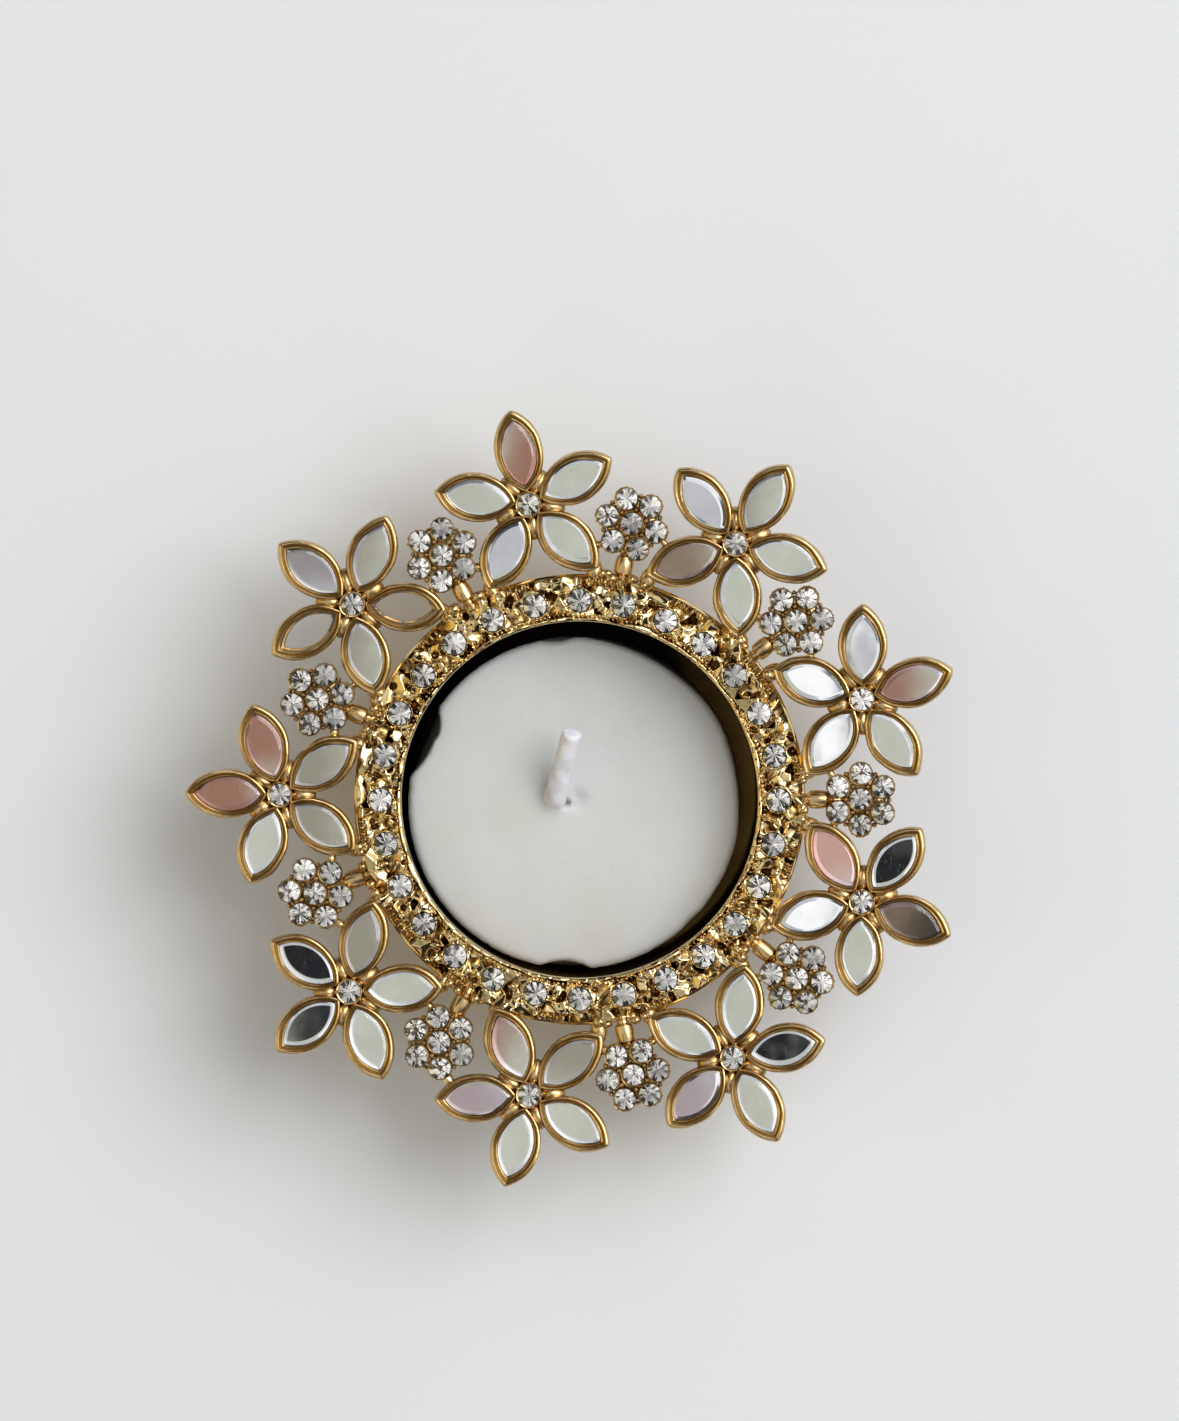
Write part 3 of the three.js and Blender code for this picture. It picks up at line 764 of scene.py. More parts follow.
TIP_STEPS = 6  # points round a marquise's tip


def marquise(half_length, half_width, grow, tip, side_steps=22):
    """Points round a marquise that is drawn out by an even distance, with its tips rounded."""
    offset = (half_length**2 - half_width**2) / (2 * half_width)
    radius = offset + half_width + grow
    reach = math.sqrt((radius - tip) ** 2 - offset**2)
    start = math.atan2(offset, reach)
    fan = np.linspace(-start, start, TIP_STEPS, endpoint=False)
    side = np.linspace(start, math.pi - start, side_steps, endpoint=False)
    x = np.concatenate([reach + tip * np.cos(fan), radius * np.cos(side)])
    y = np.concatenate([tip * np.sin(fan), radius * np.sin(side) - offset])
    half = np.stack([x, y, np.zeros(len(x))], axis=1)
    return np.concatenate([half, half * (-1, -1, 1)])


CRYSTAL_FIT = 0.985  # a crystal's width, as a share of its seat's
CROWN_FILL = 0.80  # its crown's height, as a share of the room over its girdle
RING_LEAN, CLUSTER_LEAN, HUB_LEAN = 0.12, 0.14, 0.06  # radians, the most that a crystal leans
FOIL_FINISH = 1
PAVILION_FACETS = 10
TABLE_SHARE = 0.58  # a crystal's table, as a share of its width
CULET_SHARE = 0.06  # its culet, likewise
GIRDLE_SHARE = 0.05  # half its girdle's height, likewise
UNEVEN = 0.12  # how far a facet behind strays, as a share of the way to the next one
FACES_BACK = -0.1  # a facet whose normal falls more than this is foiled


def brilliant(radius, crown, depth, draw):
    """A cut crystal about its girdle: a glass table and crown, with uneven foiled facets behind."""

    def circle(turns, share, height):
        return [on_circle(radius * share, turn, height) for turn in turns]

    girdle = GIRDLE_SHARE * radius
    eighths = np.arange(8) * math.pi / 4
    uneven = [draw.uniform(-UNEVEN, UNEVEN) for _ in range(PAVILION_FACETS)]
    behind = (np.arange(PAVILION_FACETS) + uneven) * 2 * math.pi / PAVILION_FACETS
    rings = [
        circle(eighths + math.pi / 8, TABLE_SHARE, crown),
        circle(np.concatenate([eighths, eighths + math.pi / 8]), 1.0, girdle),
        circle(behind, 1.0, -girdle),
        circle(behind, CULET_SHARE, -depth),
    ]
    form = bmesh.new()
    for place in (place for ring in rings for place in ring):
        form.verts.new(place)
    bmesh.ops.convex_hull(form, input=form.verts)
    bmesh.ops.dissolve_limit(form, angle_limit=0.01, verts=form.verts, edges=form.edges)
    form.verts.index_update()
    points = [vertex.co[:] for vertex in form.verts]
    faces = [tuple(vertex.index for vertex in face.verts) for face in form.faces]
    finishes = [FOIL_FINISH if face.normal.z < FACES_BACK else 0 for face in form.faces]
    form.free()
    return Shape(points, faces, finish=finishes)


def at(place, turn=0.0):
    """A matrix that turns about Z and moves."""
    return Matrix.Translation(place) @ Matrix.Rotation(turn, 4, "Z")


def on_circle(radius, direction, height):
    """The place on a circle about Z that lies in a direction."""
    return Vector((radius * math.cos(direction), radius * math.sin(direction), height))


def over(place, height):
    """The place over or under another, at a height."""
    return Vector((place.x, place.y, height))


# Pieces


def add_piece(name, shape, finishes, body, replaces, sharp=35):
    """Makes a shape a piece that rides on a body and stands for nodes of the frame."""
    mesh = bpy.data.meshes.new(name)
    mesh.from_pydata(shape.points.tolist(), [], shape.faces)
    for finish in finishes:
        mesh.materials.append(finish)
    mesh.polygons.foreach_set("material_index", shape.finish)
    mesh.attributes.new("hollow", "FLOAT", "POINT").data.foreach_set("value", shape.hollow)
    form = bmesh.new()
    form.from_mesh(mesh)
    bmesh.ops.recalc_face_normals(form, faces=form.faces)
    form.to_mesh(mesh)
    form.free()
    mesh.shade_smooth()
    mesh.set_sharp_from_angle(angle=math.radians(sharp))
    piece = bpy.data.objects.new(name, mesh)
    bpy.context.scene.collection.objects.link(piece)
    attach(piece, body)
    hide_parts(*replaces)


class CastTop:
    """The ring's cast top as heights on a grid of angles and radii, which forms are pressed into."""

    def __init__(self, steps, radii, floor):
        self.steps = steps
        self.radii = radii
        self.angles = np.arange(steps) * 2 * math.pi / steps
        self.heights = np.full((steps, len(radii)), floor)

    def patch(self, direction, radius, reach):
        """The grid's part near a place, with the distances there outward and sideways."""
        middle = round(direction / (2 * math.pi) * self.steps)
        spread = math.ceil(reach / radius / (2 * math.pi) * self.steps)
        rows = np.arange(middle - spread, middle + spread + 1)
        columns = np.nonzero(np.abs(self.radii - radius) <= reach)[0]
        across = (rows * 2 * math.pi / self.steps - direction)[:, None] * self.radii[columns]
        outward = np.broadcast_to(self.radii[columns] - radius, across.shape)
        return np.ix_(rows % self.steps, columns), outward, across

    def keep_higher(self, patch, inside, form):
        """Lays a form over the grid where the grid lies inside it and lower."""
        heights = self.heights[patch]
        self.heights[patch] = np.where(inside, np.maximum(heights, form), heights)

    def raise_lump(self, direction, radius, length, width, foot, top):
        """A round lump, its length outward."""
        patch, outward, across = self.patch(direction, radius, max(length, width) / 2)
        rest = 1 - (2 * outward / length) ** 2 - (2 * across / width) ** 2
        self.keep_higher(patch, rest > 0, foot + (top - foot) * np.sqrt(np.maximum(rest, 0)))

    def raise_nugget(self, direction, radius, length, width, turn, foot, top, blunt):
        """A four-sided nugget with flat faces and a blunt top."""
        patch, outward, across = self.patch(direction, radius, max(length, width) / 2)
        along = outward * math.cos(turn) + across * math.sin(turn)
        aside = across * math.cos(turn) - outward * math.sin(turn)
        rest = 1 - np.abs(2 * along / length) - np.abs(2 * aside / width)
        self.keep_higher(patch, rest > 0, foot + (top - foot) * np.minimum(rest / (1 - blunt), 1))

    def sink_pit(self, direction, radius, width, depth):
        """A round pit."""
        patch, outward, across = self.patch(direction, radius, width / 2)
        rest = 1 - (2 * outward / width) ** 2 - (2 * across / width) ** 2
        self.heights[patch] -= depth * np.sqrt(np.maximum(rest, 0))

    def set_collet(self, direction, radius, inside, wall, top, slope):
        """A collet's rounded rim, with a cone in it for a crystal's back."""
        patch, outward, across = self.patch(direction, radius, inside + wall)
        away = np.hypot(outward, across)
        rim = top - wall * 0.5 * (2 * (away - inside) / wall - 1) ** 2
        cone = top - wall - (inside - away) * slope
        heights = np.where(away < inside, cone, np.maximum(self.heights[patch], rim))
        self.heights[patch] = np.where(away < inside + wall, heights, self.heights[patch])

    def hollow(self):
        """How far each place lies under its surroundings, from 0 to 1."""
        around = self.heights
        for axis in (0, 1):
            shifts = range(-HOLLOW_REACH, HOLLOW_REACH + 1)
            around = np.mean([np.roll(around, shift, axis) for shift in shifts], axis=0)
        return np.clip((around - self.heights) / HOLLOW_DEPTH, 0, 1)


RING_STEPS = 1500
RING_GRID = 0.09 * MM
HOLLOW_REACH = 7  # steps of the grid that count as a place's surroundings
HOLLOW_DEPTH = 0.22 * MM  # a place that lies this much lower is as hollow as can be
FOLD_SIZE, FOLD_DEPTH, FOLD_TOP = 2.2, 1.1, 0.05  # millimetres, the top under the ring's
PIT_SIZE, PIT_DEPTH = 1.2, 2.2  # millimetres
PIT_NOISE = UP * 9  # where the pits' noise is read, away from the folds'
NO_PIT = 0.25  # noise under this leaves no pit
RING_FLAT, RING_FLAT_LEAN, RING_FLAT_STEP = 1.9 * MM, 0.22, 0.05 * MM
LIP_FLAT, LIP_FLAT_LEAN, LIP_FLAT_STEP = 0.6 * MM, 0.15, 0.02 * MM
NEAR_FLATS = 4  # a place belongs to a flat no farther away than this many sizes of it
HIGHEST_FLAT = 0.2 * MM  # over the ring's top
LIP_UNEVEN = 0.9  # how much the inner lip's width varies, as a share of it
LIP_WAVE = 0.16 * MM  # how much its height varies
WIDTH_WAVES, HEIGHT_WAVES, WEAR_WAVES = 7, 9, 4  # how quickly these and the rope's wear vary round it
LIP_INNER_FALL, LIP_OUTER_FALL = 0.22 * MM, 0.10 * MM  # how far its arch falls to each side
LIP_GROOVE = 0.3 * MM  # the groove behind it, under the ring's top
GROOVE_END = 1.3  # where the groove ends, in widths of the lip
ROPE_SPACING = 0.50 * MM
ROPE_PLACE = 0.26 * MM  # the rope's middle, from the lip's edge
ROPE_RISE = 0.16 * MM  # its nuggets, over the ring's top
ROPE_WEAR = 0.6 * MM  # how much lower they are where the rope is most worn
BAR_SPACING, BAR_WIDTH = 0.68 * MM, 0.42 * MM
BAR_PLACE = 0.35 * MM  # the bars' middle, from the border's inner edge
BAR_BED, BAR_BED_HALF = 0.3 * MM, 0.45 * MM  # the cleared bed under them: its height and half its width
RING_PRONGS = 5  # round each crystal
LEDGE_DROP = 0.9 * MM  # the ring's low outer ledge, under its top
CULET_SLOPE = 1.1  # a crystal's back: its depth over its radius


def ring_casting(sizes):
    """The ring's casting: folds and scraps, an inner lip with a rope, bars, and a collet per crystal."""
    draw = random.Random(SEED)
    floor = RING_TOP - sizes.channel_depth
    lip = RING_BORE + sizes.inner_lip
    border = RING_OUTER - sizes.outer_border
    middle = (lip + border) / 2
    radii = np.linspace(RING_BORE, RING_OUTER, round((RING_OUTER - RING_BORE) / RING_GRID))
    top = CastTop(RING_STEPS, radii, floor)
    step = 2 * math.pi / len(RING_SEATS)
    cast_folds(top)
    for seat in RING_SEATS:
        gap = math.atan2(seat.y, seat.x) + step / 2
        scatter_scraps(top, draw, gap, middle, floor)
    chisel(top, draw, lip, RING_OUTER, RING_FLAT, RING_FLAT_LEAN, RING_FLAT_STEP)
    lay_lip(top, sizes.inner_lip)
    chisel(top, draw, RING_BORE, lip, LIP_FLAT, LIP_FLAT_LEAN, LIP_FLAT_STEP)
    top.heights = np.minimum(top.heights, RING_TOP + HIGHEST_FLAT)
    lay_rope(top, draw, sizes.inner_lip, floor)
    for group in range(len(RING_SEATS) // 2):
        start = (2 * group + draw.uniform(0.0, 0.5)) * step
        set_bars(top, draw, start, draw.randint(4, 7), border, floor)
    for seat in RING_SEATS:
        set_ring_seat(top, draw, seat, sizes, floor)
    return ring_body(top)


def cast_folds(top):
    """The casting's uneven face: broad folds with sharp ridges, and pits between them."""
    for row, direction in enumerate(top.angles):
        for column, radius in enumerate(top.radii):
            place = on_circle(radius, direction, 0) / MM
            fold = abs(noise.noise(place / FOLD_SIZE))
            pit = max(noise.noise(place / PIT_SIZE + PIT_NOISE) - NO_PIT, 0)
            top.heights[row, column] = RING_TOP - (FOLD_TOP + FOLD_DEPTH * fold + PIT_DEPTH * pit) * MM


def scatter_scraps(top, draw, gap, middle, floor):
    """What lies between two crystals: a blunt nugget, a chiselled scrap, a pit and a granule."""

    def spot(aside, outward):
        return gap + draw.uniform(-aside, aside) / middle, middle + draw.uniform(-outward, outward)

    size = draw.uniform(1.5, 2.4) * MM, draw.uniform(1.0, 1.8) * MM
    place = spot(0.5 * MM, 1.2 * MM)
    turn = draw.uniform(0, math.pi)
    top.raise_nugget(*place, *size, turn, floor, RING_TOP + 0.05 * MM, blunt=draw.uniform(0.4, 0.8))
    place = spot(1.3 * MM, 1.7 * MM)
    size = draw.uniform(1.2, 2.4) * MM, draw.uniform(0.6, 1.2) * MM
    turn = draw.uniform(0, math.pi)
    top.raise_nugget(*place, *size, turn, floor, RING_TOP, blunt=draw.uniform(0.3, 0.7))
    place = spot(1.2 * MM, 1.6 * MM)
    top.sink_pit(*place, width=draw.uniform(0.6, 1.0) * MM, depth=draw.uniform(0.3, 0.8) * MM)
    width = draw.uniform(0.3, 0.6) * MM
    place = spot(1.2 * MM, 1.7 * MM)
    top.raise_lump(*place, width, width, floor, RING_TOP + draw.uniform(-0.3, 0.12) * MM)


def chisel(top, draw, inside, outside, size, lean, step):
    """Breaks the casting between two radii into small flats, each with its own lean and height."""
    count = round(2 * math.pi * inside * (outside - inside) / size**2)
    turns = [2 * math.pi * (number + draw.random()) / count for number in range(count)]
    seeds = np.array([(turn, draw.uniform(inside, outside)) for turn in turns])
    leans = np.array([(draw.gauss(0, lean), draw.gauss(0, lean), draw.gauss(0, step)) for _ in range(count)])
    columns = np.nonzero((top.radii >= inside) & (top.radii <= outside))[0]
    for row, direction in enumerate(top.angles):
        aside = (direction - seeds[:, 0] + math.pi) % (2 * math.pi) - math.pi
        near = np.nonzero(np.abs(aside) * inside < NEAR_FLATS * size)[0]
        across = aside[near] * inside
        outward = top.radii[columns][:, None] - seeds[near, 1]
        nearest = np.argmin(outward**2 + across**2, axis=1)
        along = outward[np.arange(len(columns)), nearest]
        own = leans[near][nearest]
        top.heights[row, columns] += along * own[:, 0] + across[nearest] * own[:, 1] + own[:, 2]


def lip_width(usual, direction):
    """The inner lip's width in a direction, uneven as cast."""
    return usual * (1 + LIP_UNEVEN * noise.noise(on_circle(WIDTH_WAVES, direction, 2)))


def lay_lip(top, usual):
    """The smooth, hammered inner lip, uneven in width and height, and a groove behind it."""
    widths = np.array([lip_width(usual, direction) for direction in top.angles])[:, None]
    across = (top.radii - RING_BORE) / widths
    wave = np.array([noise.noise(on_circle(HEIGHT_WAVES, direction, 0)) for direction in top.angles])[:, None]
    share = np.minimum(across, 1)
    fall = LIP_INNER_FALL * (1 - share) ** 2 + LIP_OUTER_FALL * share**6
    arch = RING_TOP - fall + wave * LIP_WAVE
    groove = RING_TOP - LIP_GROOVE
    heights = np.where(across <= 1, np.maximum(arch, groove), top.heights)
    top.heights = np.where((across > 1) & (across < GROOVE_END), np.minimum(heights, groove), heights)


def lay_rope(top, draw, usual, floor):
    """The worn rope of small nuggets behind the inner lip."""
    lip = RING_BORE + usual
    for number in range(round(2 * math.pi * lip / ROPE_SPACING)):
        direction = number * ROPE_SPACING / lip
        size = draw.uniform(0.55, 0.85) * MM, ROPE_SPACING * draw.uniform(0.7, 1.2)
        wear = max(0, noise.noise(on_circle(WEAR_WAVES, direction, 0)))
        worn = ROPE_WEAR * wear + draw.uniform(0, 0.12) * MM
        radius = RING_BORE + lip_width(usual, direction) + ROPE_PLACE
        turn = draw.uniform(0.3, 0.7)
        top.raise_nugget(direction, radius, *size, turn, floor, RING_TOP + ROPE_RISE - worn, blunt=0.5)


def set_bars(top, draw, start, count, border, floor):
    """A group of short bars across the border, with clear gaps between them."""
    middle = border + BAR_PLACE
    centre = start + (count - 1) / 2 * BAR_SPACING / middle
    patch, outward, _ = top.patch(centre, middle, count * BAR_SPACING / 2)
    clear = np.minimum(top.heights[patch], floor + BAR_BED)
    top.heights[patch] = np.where(np.abs(outward) < BAR_BED_HALF, clear, top.heights[patch])
    for number in range(count):
        direction = start + number * BAR_SPACING / middle
        length = draw.uniform(0.8, 1.1) * MM
        top.raise_lump(direction, middle, length, BAR_WIDTH, floor, RING_TOP + draw.uniform(0.0, 0.15) * MM)


def set_ring_seat(top, draw, seat, sizes, floor):
    """A crystal's collet with a few prongs."""
    direction, radius = math.atan2(seat.y, seat.x), seat.xy.length
    inside = sizes.ring_crystal / 2
    top.set_collet(direction, radius, inside, wall=0.2 * MM, top=RING_TOP - 0.08 * MM, slope=CULET_SLOPE)
    for corner in range(RING_PRONGS):
        turn = (corner + draw.uniform(0, 0.7)) * 2 * math.pi / RING_PRONGS
        away = inside + 0.14 * MM
        width = draw.uniform(0.34, 0.56) * MM
        place = direction + away * math.sin(turn) / radius, radius + away * math.cos(turn)
        top.raise_lump(*place, width, width, floor, RING_TOP + draw.uniform(0.05, 0.24) * MM)


def ring_body(top):
    """The cast top closed by a foot with a low outer ledge."""
    around = np.stack([np.cos(top.angles), np.sin(top.angles), np.zeros(RING_STEPS)], axis=1)
    rings, hollows = [], []
    # Painted shade: how hollow each place lies darkens the plating there
    for radius, heights, shade in zip(top.radii, top.heights.T, top.hollow().T):
        rings.append(around * radius + np.outer(heights, (0, 0, 1)))
        hollows.append(shade)
    ledge = RING_TOP - LEDGE_DROP
    rest = [
        (RING_OUTER + 0.02 * MM, ledge + 0.1 * MM),
        (RING_OUTER + 0.10 * MM, ledge),
        (RING_OUTER + 0.30 * MM, ledge - 0.03 * MM),
        (RING_OUTER + 0.36 * MM, ledge - 0.15 * MM),
        (RING_OUTER + 0.30 * MM, RING_BASE + 0.3 * MM),
        (RING_OUTER + 0.10 * MM, RING_BASE),
        (RING_BORE + 0.15 * MM, RING_BASE),
        (RING_BORE, RING_BASE + 0.2 * MM),
        (RING_BORE, RING_BASE + 0.6 * (RING_TOP - RING_BASE)),
    ]
    for radius, height in rest:
        rings.append(around * radius + (0, 0, height))
        hollows.append(np.zeros(RING_STEPS))
    shape = lofted(rings, looped=True)
    shape.hollow = np.concatenate(hollows)
    return shape


def collet(radius, wall, foot, top):
    """A crystal's round cup with a soft rim, about the crystal's axis."""
    profile = [
        (radius * 0.6, foot),
        (radius + wall * 0.6, foot),
        (radius + wall, foot + 0.15 * MM),
        (radius + wall, top - 0.15 * MM),
        (radius + wall * 0.6, top),
        (radius, top - 0.04 * MM),
        (radius * 0.55, top - radius * 0.68),
        (radius * 0.1, top - radius * 1.10),
    ]
    # Painted shade: the hollow values darken the plating down the inner slope and in the cone
    return turned(profile, sides=24, hollow=[0, 0, 0, 0, 0, 0.4, 1, 1])


PRONG_TURNS = (-0.75, -0.25, 0.25, 0.75)  # radians, round an outer crystal's outer side
NUGGET_SIDES = (-1, -1, -1, 1, 1, 1)  # which side of the barrel each nugget lies on
BEAD_ROWS = ((0.667, 0.74 * MM), (1.3, 0.62 * MM))  # how far out between two crystals, and how wide


def cluster_setting(seats, sizes, draw):
    """A cluster's setting: cups on a plate, beads and prongs, a barrel to the ring and nuggets beside it."""
    radius = sizes.cluster_crystal / 2
    girdle = RING_TOP
    middle = seats[0]
    cup = collet(radius, wall=0.11 * MM, foot=girdle - 1.5 * MM, top=girdle + 0.05 * MM)
    shapes = [cup.moved(at(over(seat, 0))) for seat in seats]
    shapes += beads_between(seats, girdle - 0.5 * MM, draw)
    for seat in seats[1:]:
        outward = seat - middle
        direction = math.atan2(outward.y, outward.x)
        for turn in PRONG_TURNS:
            place = seat + on_circle(radius + 0.05 * MM, direction + turn, 0)
            prong = bead(width=0.26 * MM, depth=0.26 * MM, height=0.5 * MM, sides=8)
            shapes.append(prong.moved(at(over(place, girdle - 0.08 * MM))))
    rim = [(2.6, 0), (2.85, 0.1), (2.85, 0.3), (2.6, 0.4)]
    plate = turned([(reach * MM, height * MM) for reach, height in rim], sides=24)
    shapes.append(plate.moved(at(over(middle, girdle - 1.7 * MM))))
    shapes.append(stem(middle, sizes, girdle - 1.3 * MM))
    direction = math.atan2(middle.y, middle.x)
    for side in NUGGET_SIDES:
        size = draw.uniform(0.9, 1.5) * MM
        away = RING_OUTER + draw.uniform(0.0, 0.6) * MM
        turn = direction + side * draw.uniform(0.9, 2.8) * MM / away
        nugget = bead(size, size * draw.uniform(0.8, 1.3), size * 1.2)
        shapes.append(nugget.moved(at(on_circle(away, turn, girdle - draw.uniform(0.5, 1.2) * MM), turn)))
    return together(shapes)


def beads_between(seats, height, draw):
    """Two beads for each pair of neighbours round a cluster, one on the inner side and one on the outer."""
    middle, *others = seats
    shapes = []
    for first in others:
        nearest = sorted(others, key=lambda seat: (seat - first).length)[1:3]
        for second in nearest:
            if math.atan2(*(first - middle).xy) > math.atan2(*(second - middle).xy):
                continue
            half = (first + second) / 2
            for out, width in BEAD_ROWS:
                place = middle + (half - middle) * out
                size = width * draw.uniform(0.85, 1.1)
                shapes.append(bead(size, size, height=1.5 * MM).moved(at(over(place, height))))
    return shapes


def stem(middle, sizes, height):
    """The barrel between the ring and a cluster, with a collar at each end."""
    start, end = RING_OUTER - 0.5 * MM, middle.xy.length - sizes.cluster_crystal * 0.8
    width = sizes.stem / 2
    reach = end - start
    profile = [
        (0.80 * width, 0),
        (0.90 * width, 0.10 * reach),
        (0.60 * width, 0.16 * reach),
        (0.62 * width, 0.22 * reach),
        (0.95 * width, 0.28 * reach),
        (1.00 * width, 0.40 * reach),
        (1.00 * width, 0.52 * reach),
        (0.92 * width, 0.64 * reach),
        (0.60 * width, 0.69 * reach),
        (0.80 * width, 0.74 * reach),
        (0.80 * width, 0.84 * reach),
        (0.60 * width, reach),
    ]
    barrel = turned(profile, sides=20)
    outward = over(middle, 0).normalized()
    side = UP.cross(outward)
    pose = Matrix((side, UP, outward)).transposed().to_4x4()
    pose.translation = outward * start + UP * height
    return barrel.moved(pose)


TIP_THICKER = 0.3  # how much more of a bezel's width lies at its outer tip
MIRROR_RIM = 0.75 * MM  # a mirror's rim, from the petal's outline


def bezel_profile(sizes):
    """A bezel's section: how far in from the petal's outline, how high, and how hollow, which darkens the
    plating there as painted shade.
    """
    lip, top, ledge = sizes.bezel_lip, sizes.petal_height, sizes.ledge_height
    return [
        (0.14 * MM, 0, 0.2),
        (0.02 * MM, 0.12 * MM, 0.1),
        (0, 0.6 * top, 0),
        (0.02 * MM, 0.8 * top, 0),
        (0.2 * lip, top - 0.16 * MM, 0),
        (0.45 * lip, top - 0.03 * MM, 0),
        (0.70 * lip, top, 0),
        (0.95 * lip, top - 0.07 * MM, 0.1),
        (lip + 0.06 * MM, top - 0.24 * MM, 1.0),
        (lip + 0.15 * MM, top - 0.27 * MM, 1.0),
        (lip + 0.26 * MM, top - 0.18 * MM, 0.0),
        (lip + 0.36 * MM, top - 0.25 * MM, 0.3),
        (lip + 0.45 * MM, top - 0.50 * MM, 0.9),
        (lip + 0.50 * MM, top - 0.80 * MM, 1.0),
        (lip + 0.53 * MM, ledge + 0.05 * MM, 0.5),
        (sizes.bezel_ledge - 0.06 * MM, ledge, 0.1),
        (sizes.bezel_ledge, ledge - 0.08 * MM, 0.1),
        (sizes.bezel_ledge, 0.08 * MM, 0.4),
        (sizes.bezel_ledge - 0.08 * MM, 0, 0.3),
    ]


def petal_bezel(sizes):
    """One petal's bezel about its own middle, along X."""
    profile = bezel_profile(sizes)
    rings = []
    for inset, height, _ in profile:
        tip = max(sizes.petal_tip - inset, 0.06 * MM)
        outline = marquise(sizes.petal_length / 2, sizes.petal_width / 2, -inset, tip)
        rings.append(outline + (-TIP_THICKER * min(inset, MIRROR_RIM), 0, height))
    return lofted(rings, looped=True, hollow=[hollow for _, _, hollow in profile])


def flower_casting(place, sizes, seed):
    """A flower's frame: five bezels round a hub with its collet, webs between them and lugs to the ring."""
    draw = random.Random(SEED + seed)
    top = sizes.petal_height
    middle = place.reach - sizes.petal_length / 2
    girdle = place.table - (CRYSTAL_TOP - RING_TOP)
    shapes = []
    for direction in place.angles:
        pose = Matrix.Rotation(direction, 4, "Z") @ Matrix.Translation((middle, 0, 0))
        shapes.append(petal_bezel(sizes).moved(pose))
        web = direction + PETAL_STEP / 2
        wedge = bead(width=3.2 * MM, depth=2.0 * MM, height=2.0 * MM * draw.uniform(0.95, 1.05), sides=16)
        shapes.append(wedge.moved(at(on_circle(0.42 * middle, web, 0.40 * top), web)))
        prong = bead(width=0.55 * MM, depth=0.5 * MM, height=0.9 * MM)
        spot = on_circle(sizes.hub_crystal / 2 + 0.13 * MM, web, girdle - 0.18 * MM)
        shapes.append(prong.moved(at(spot, web)))
        if math.cos(direction) < math.cos(math.pi - PETAL_STEP):
            shapes.append(lug(place, direction, sizes))
    hub = [(0.9, 0.05), (2.1, 0.05), (2.3, 0.3), (2.2, 0.8), (1.5, 0.95)]
    shapes.append(turned([(radius * MM, height * MM) for radius, height in hub], sides=24))
    shapes.append(collet(sizes.hub_crystal / 2, wall=0.22 * MM, foot=0.1 * MM, top=girdle + 0.04 * MM))
    shape = together(shapes)
    # Painted shade: the plating darkens low round the hub
    near_hub = np.hypot(shape.points[:, 0], shape.points[:, 1]) < 0.7 * middle
    low = np.clip((0.85 * top - shape.points[:, 2]) / (0.45 * top), 0, 1)
    shape.hollow = np.where(near_hub, np.maximum(shape.hollow, 0.8 * low), shape.hollow)
    shape = roughened(shape, size=2.4 * MM, amount=0.09 * MM, seed=seed)
    return roughened(shape, size=0.6 * MM, amount=0.028 * MM, seed=seed + 40)


LUG_WIDTH = 1.9 * MM


def lug(place, direction, sizes):
    """A lug from an inward petal's tip to the ring, thickest halfway."""
    height = sizes.petal_height / 2
    start = on_circle(place.reach - 0.5 * MM, direction, height)
    axis = place.pose.inverted() @ Vector((0, 0, place.pose.translation.z))
    axis.z = height
    end = axis + (start - axis).normalized() * (RING_OUTER + 0.05 * MM)
    along = end - start
    lump = bead(along.length + LUG_WIDTH, LUG_WIDTH, LUG_WIDTH, sides=16)
    return lump.moved(at((start + end) / 2, math.atan2(along.y, along.x)))


SILVER_FINISH, BACK_FINISH, BEVEL_FINISH = 1, 2, 3
MIRROR_INSET = 0.05 * MM  # how much smaller a mirror is than its node, all round
MIRROR_TIP = 0.22 * MM  # rounding of a mirror's tips
MIRROR_STEPS = 30  # points along a mirror's side


def mirror_glass(place, sizes, slip):
    """A mirror with a bevel, about the middle of its foot: glass, a silvered foot and a lacquered back.

    The bevel's inner edge has slipped sideways, so the bevel is wider on one side, as cut by hand.
    """

    def slab(rows):
        rings = []
        for inset, aside, height in rows:
            tip = MIRROR_TIP - inset * 0.3
            outline = marquise(place.half_length, place.half_width, -inset, tip, MIRROR_STEPS)
            rings.append(outline + (0, aside, height))
        return lofted(rings)

    rim = MIRROR_INSET
    edge = place.thickness - sizes.bevel_height
    glass = slab([(rim, 0, 0), (rim, 0, edge), (rim + sizes.bevel_width, slip, place.thickness)])
    sides = (len(glass.faces) - 2) // 2
    glass.finish[sides : 2 * sides] = BEVEL_FINISH
    glass.finish[-2] = SILVER_FINISH
    back = slab(
        [
            (rim + 0.10 * MM, 0, -0.14 * MM),
            (rim + 0.05 * MM, 0, -0.10 * MM),
            (rim + 0.05 * MM, 0, -0.03 * MM),
        ]
    )
    back.finish[:] = BACK_FINISH
    return together([glass, back])


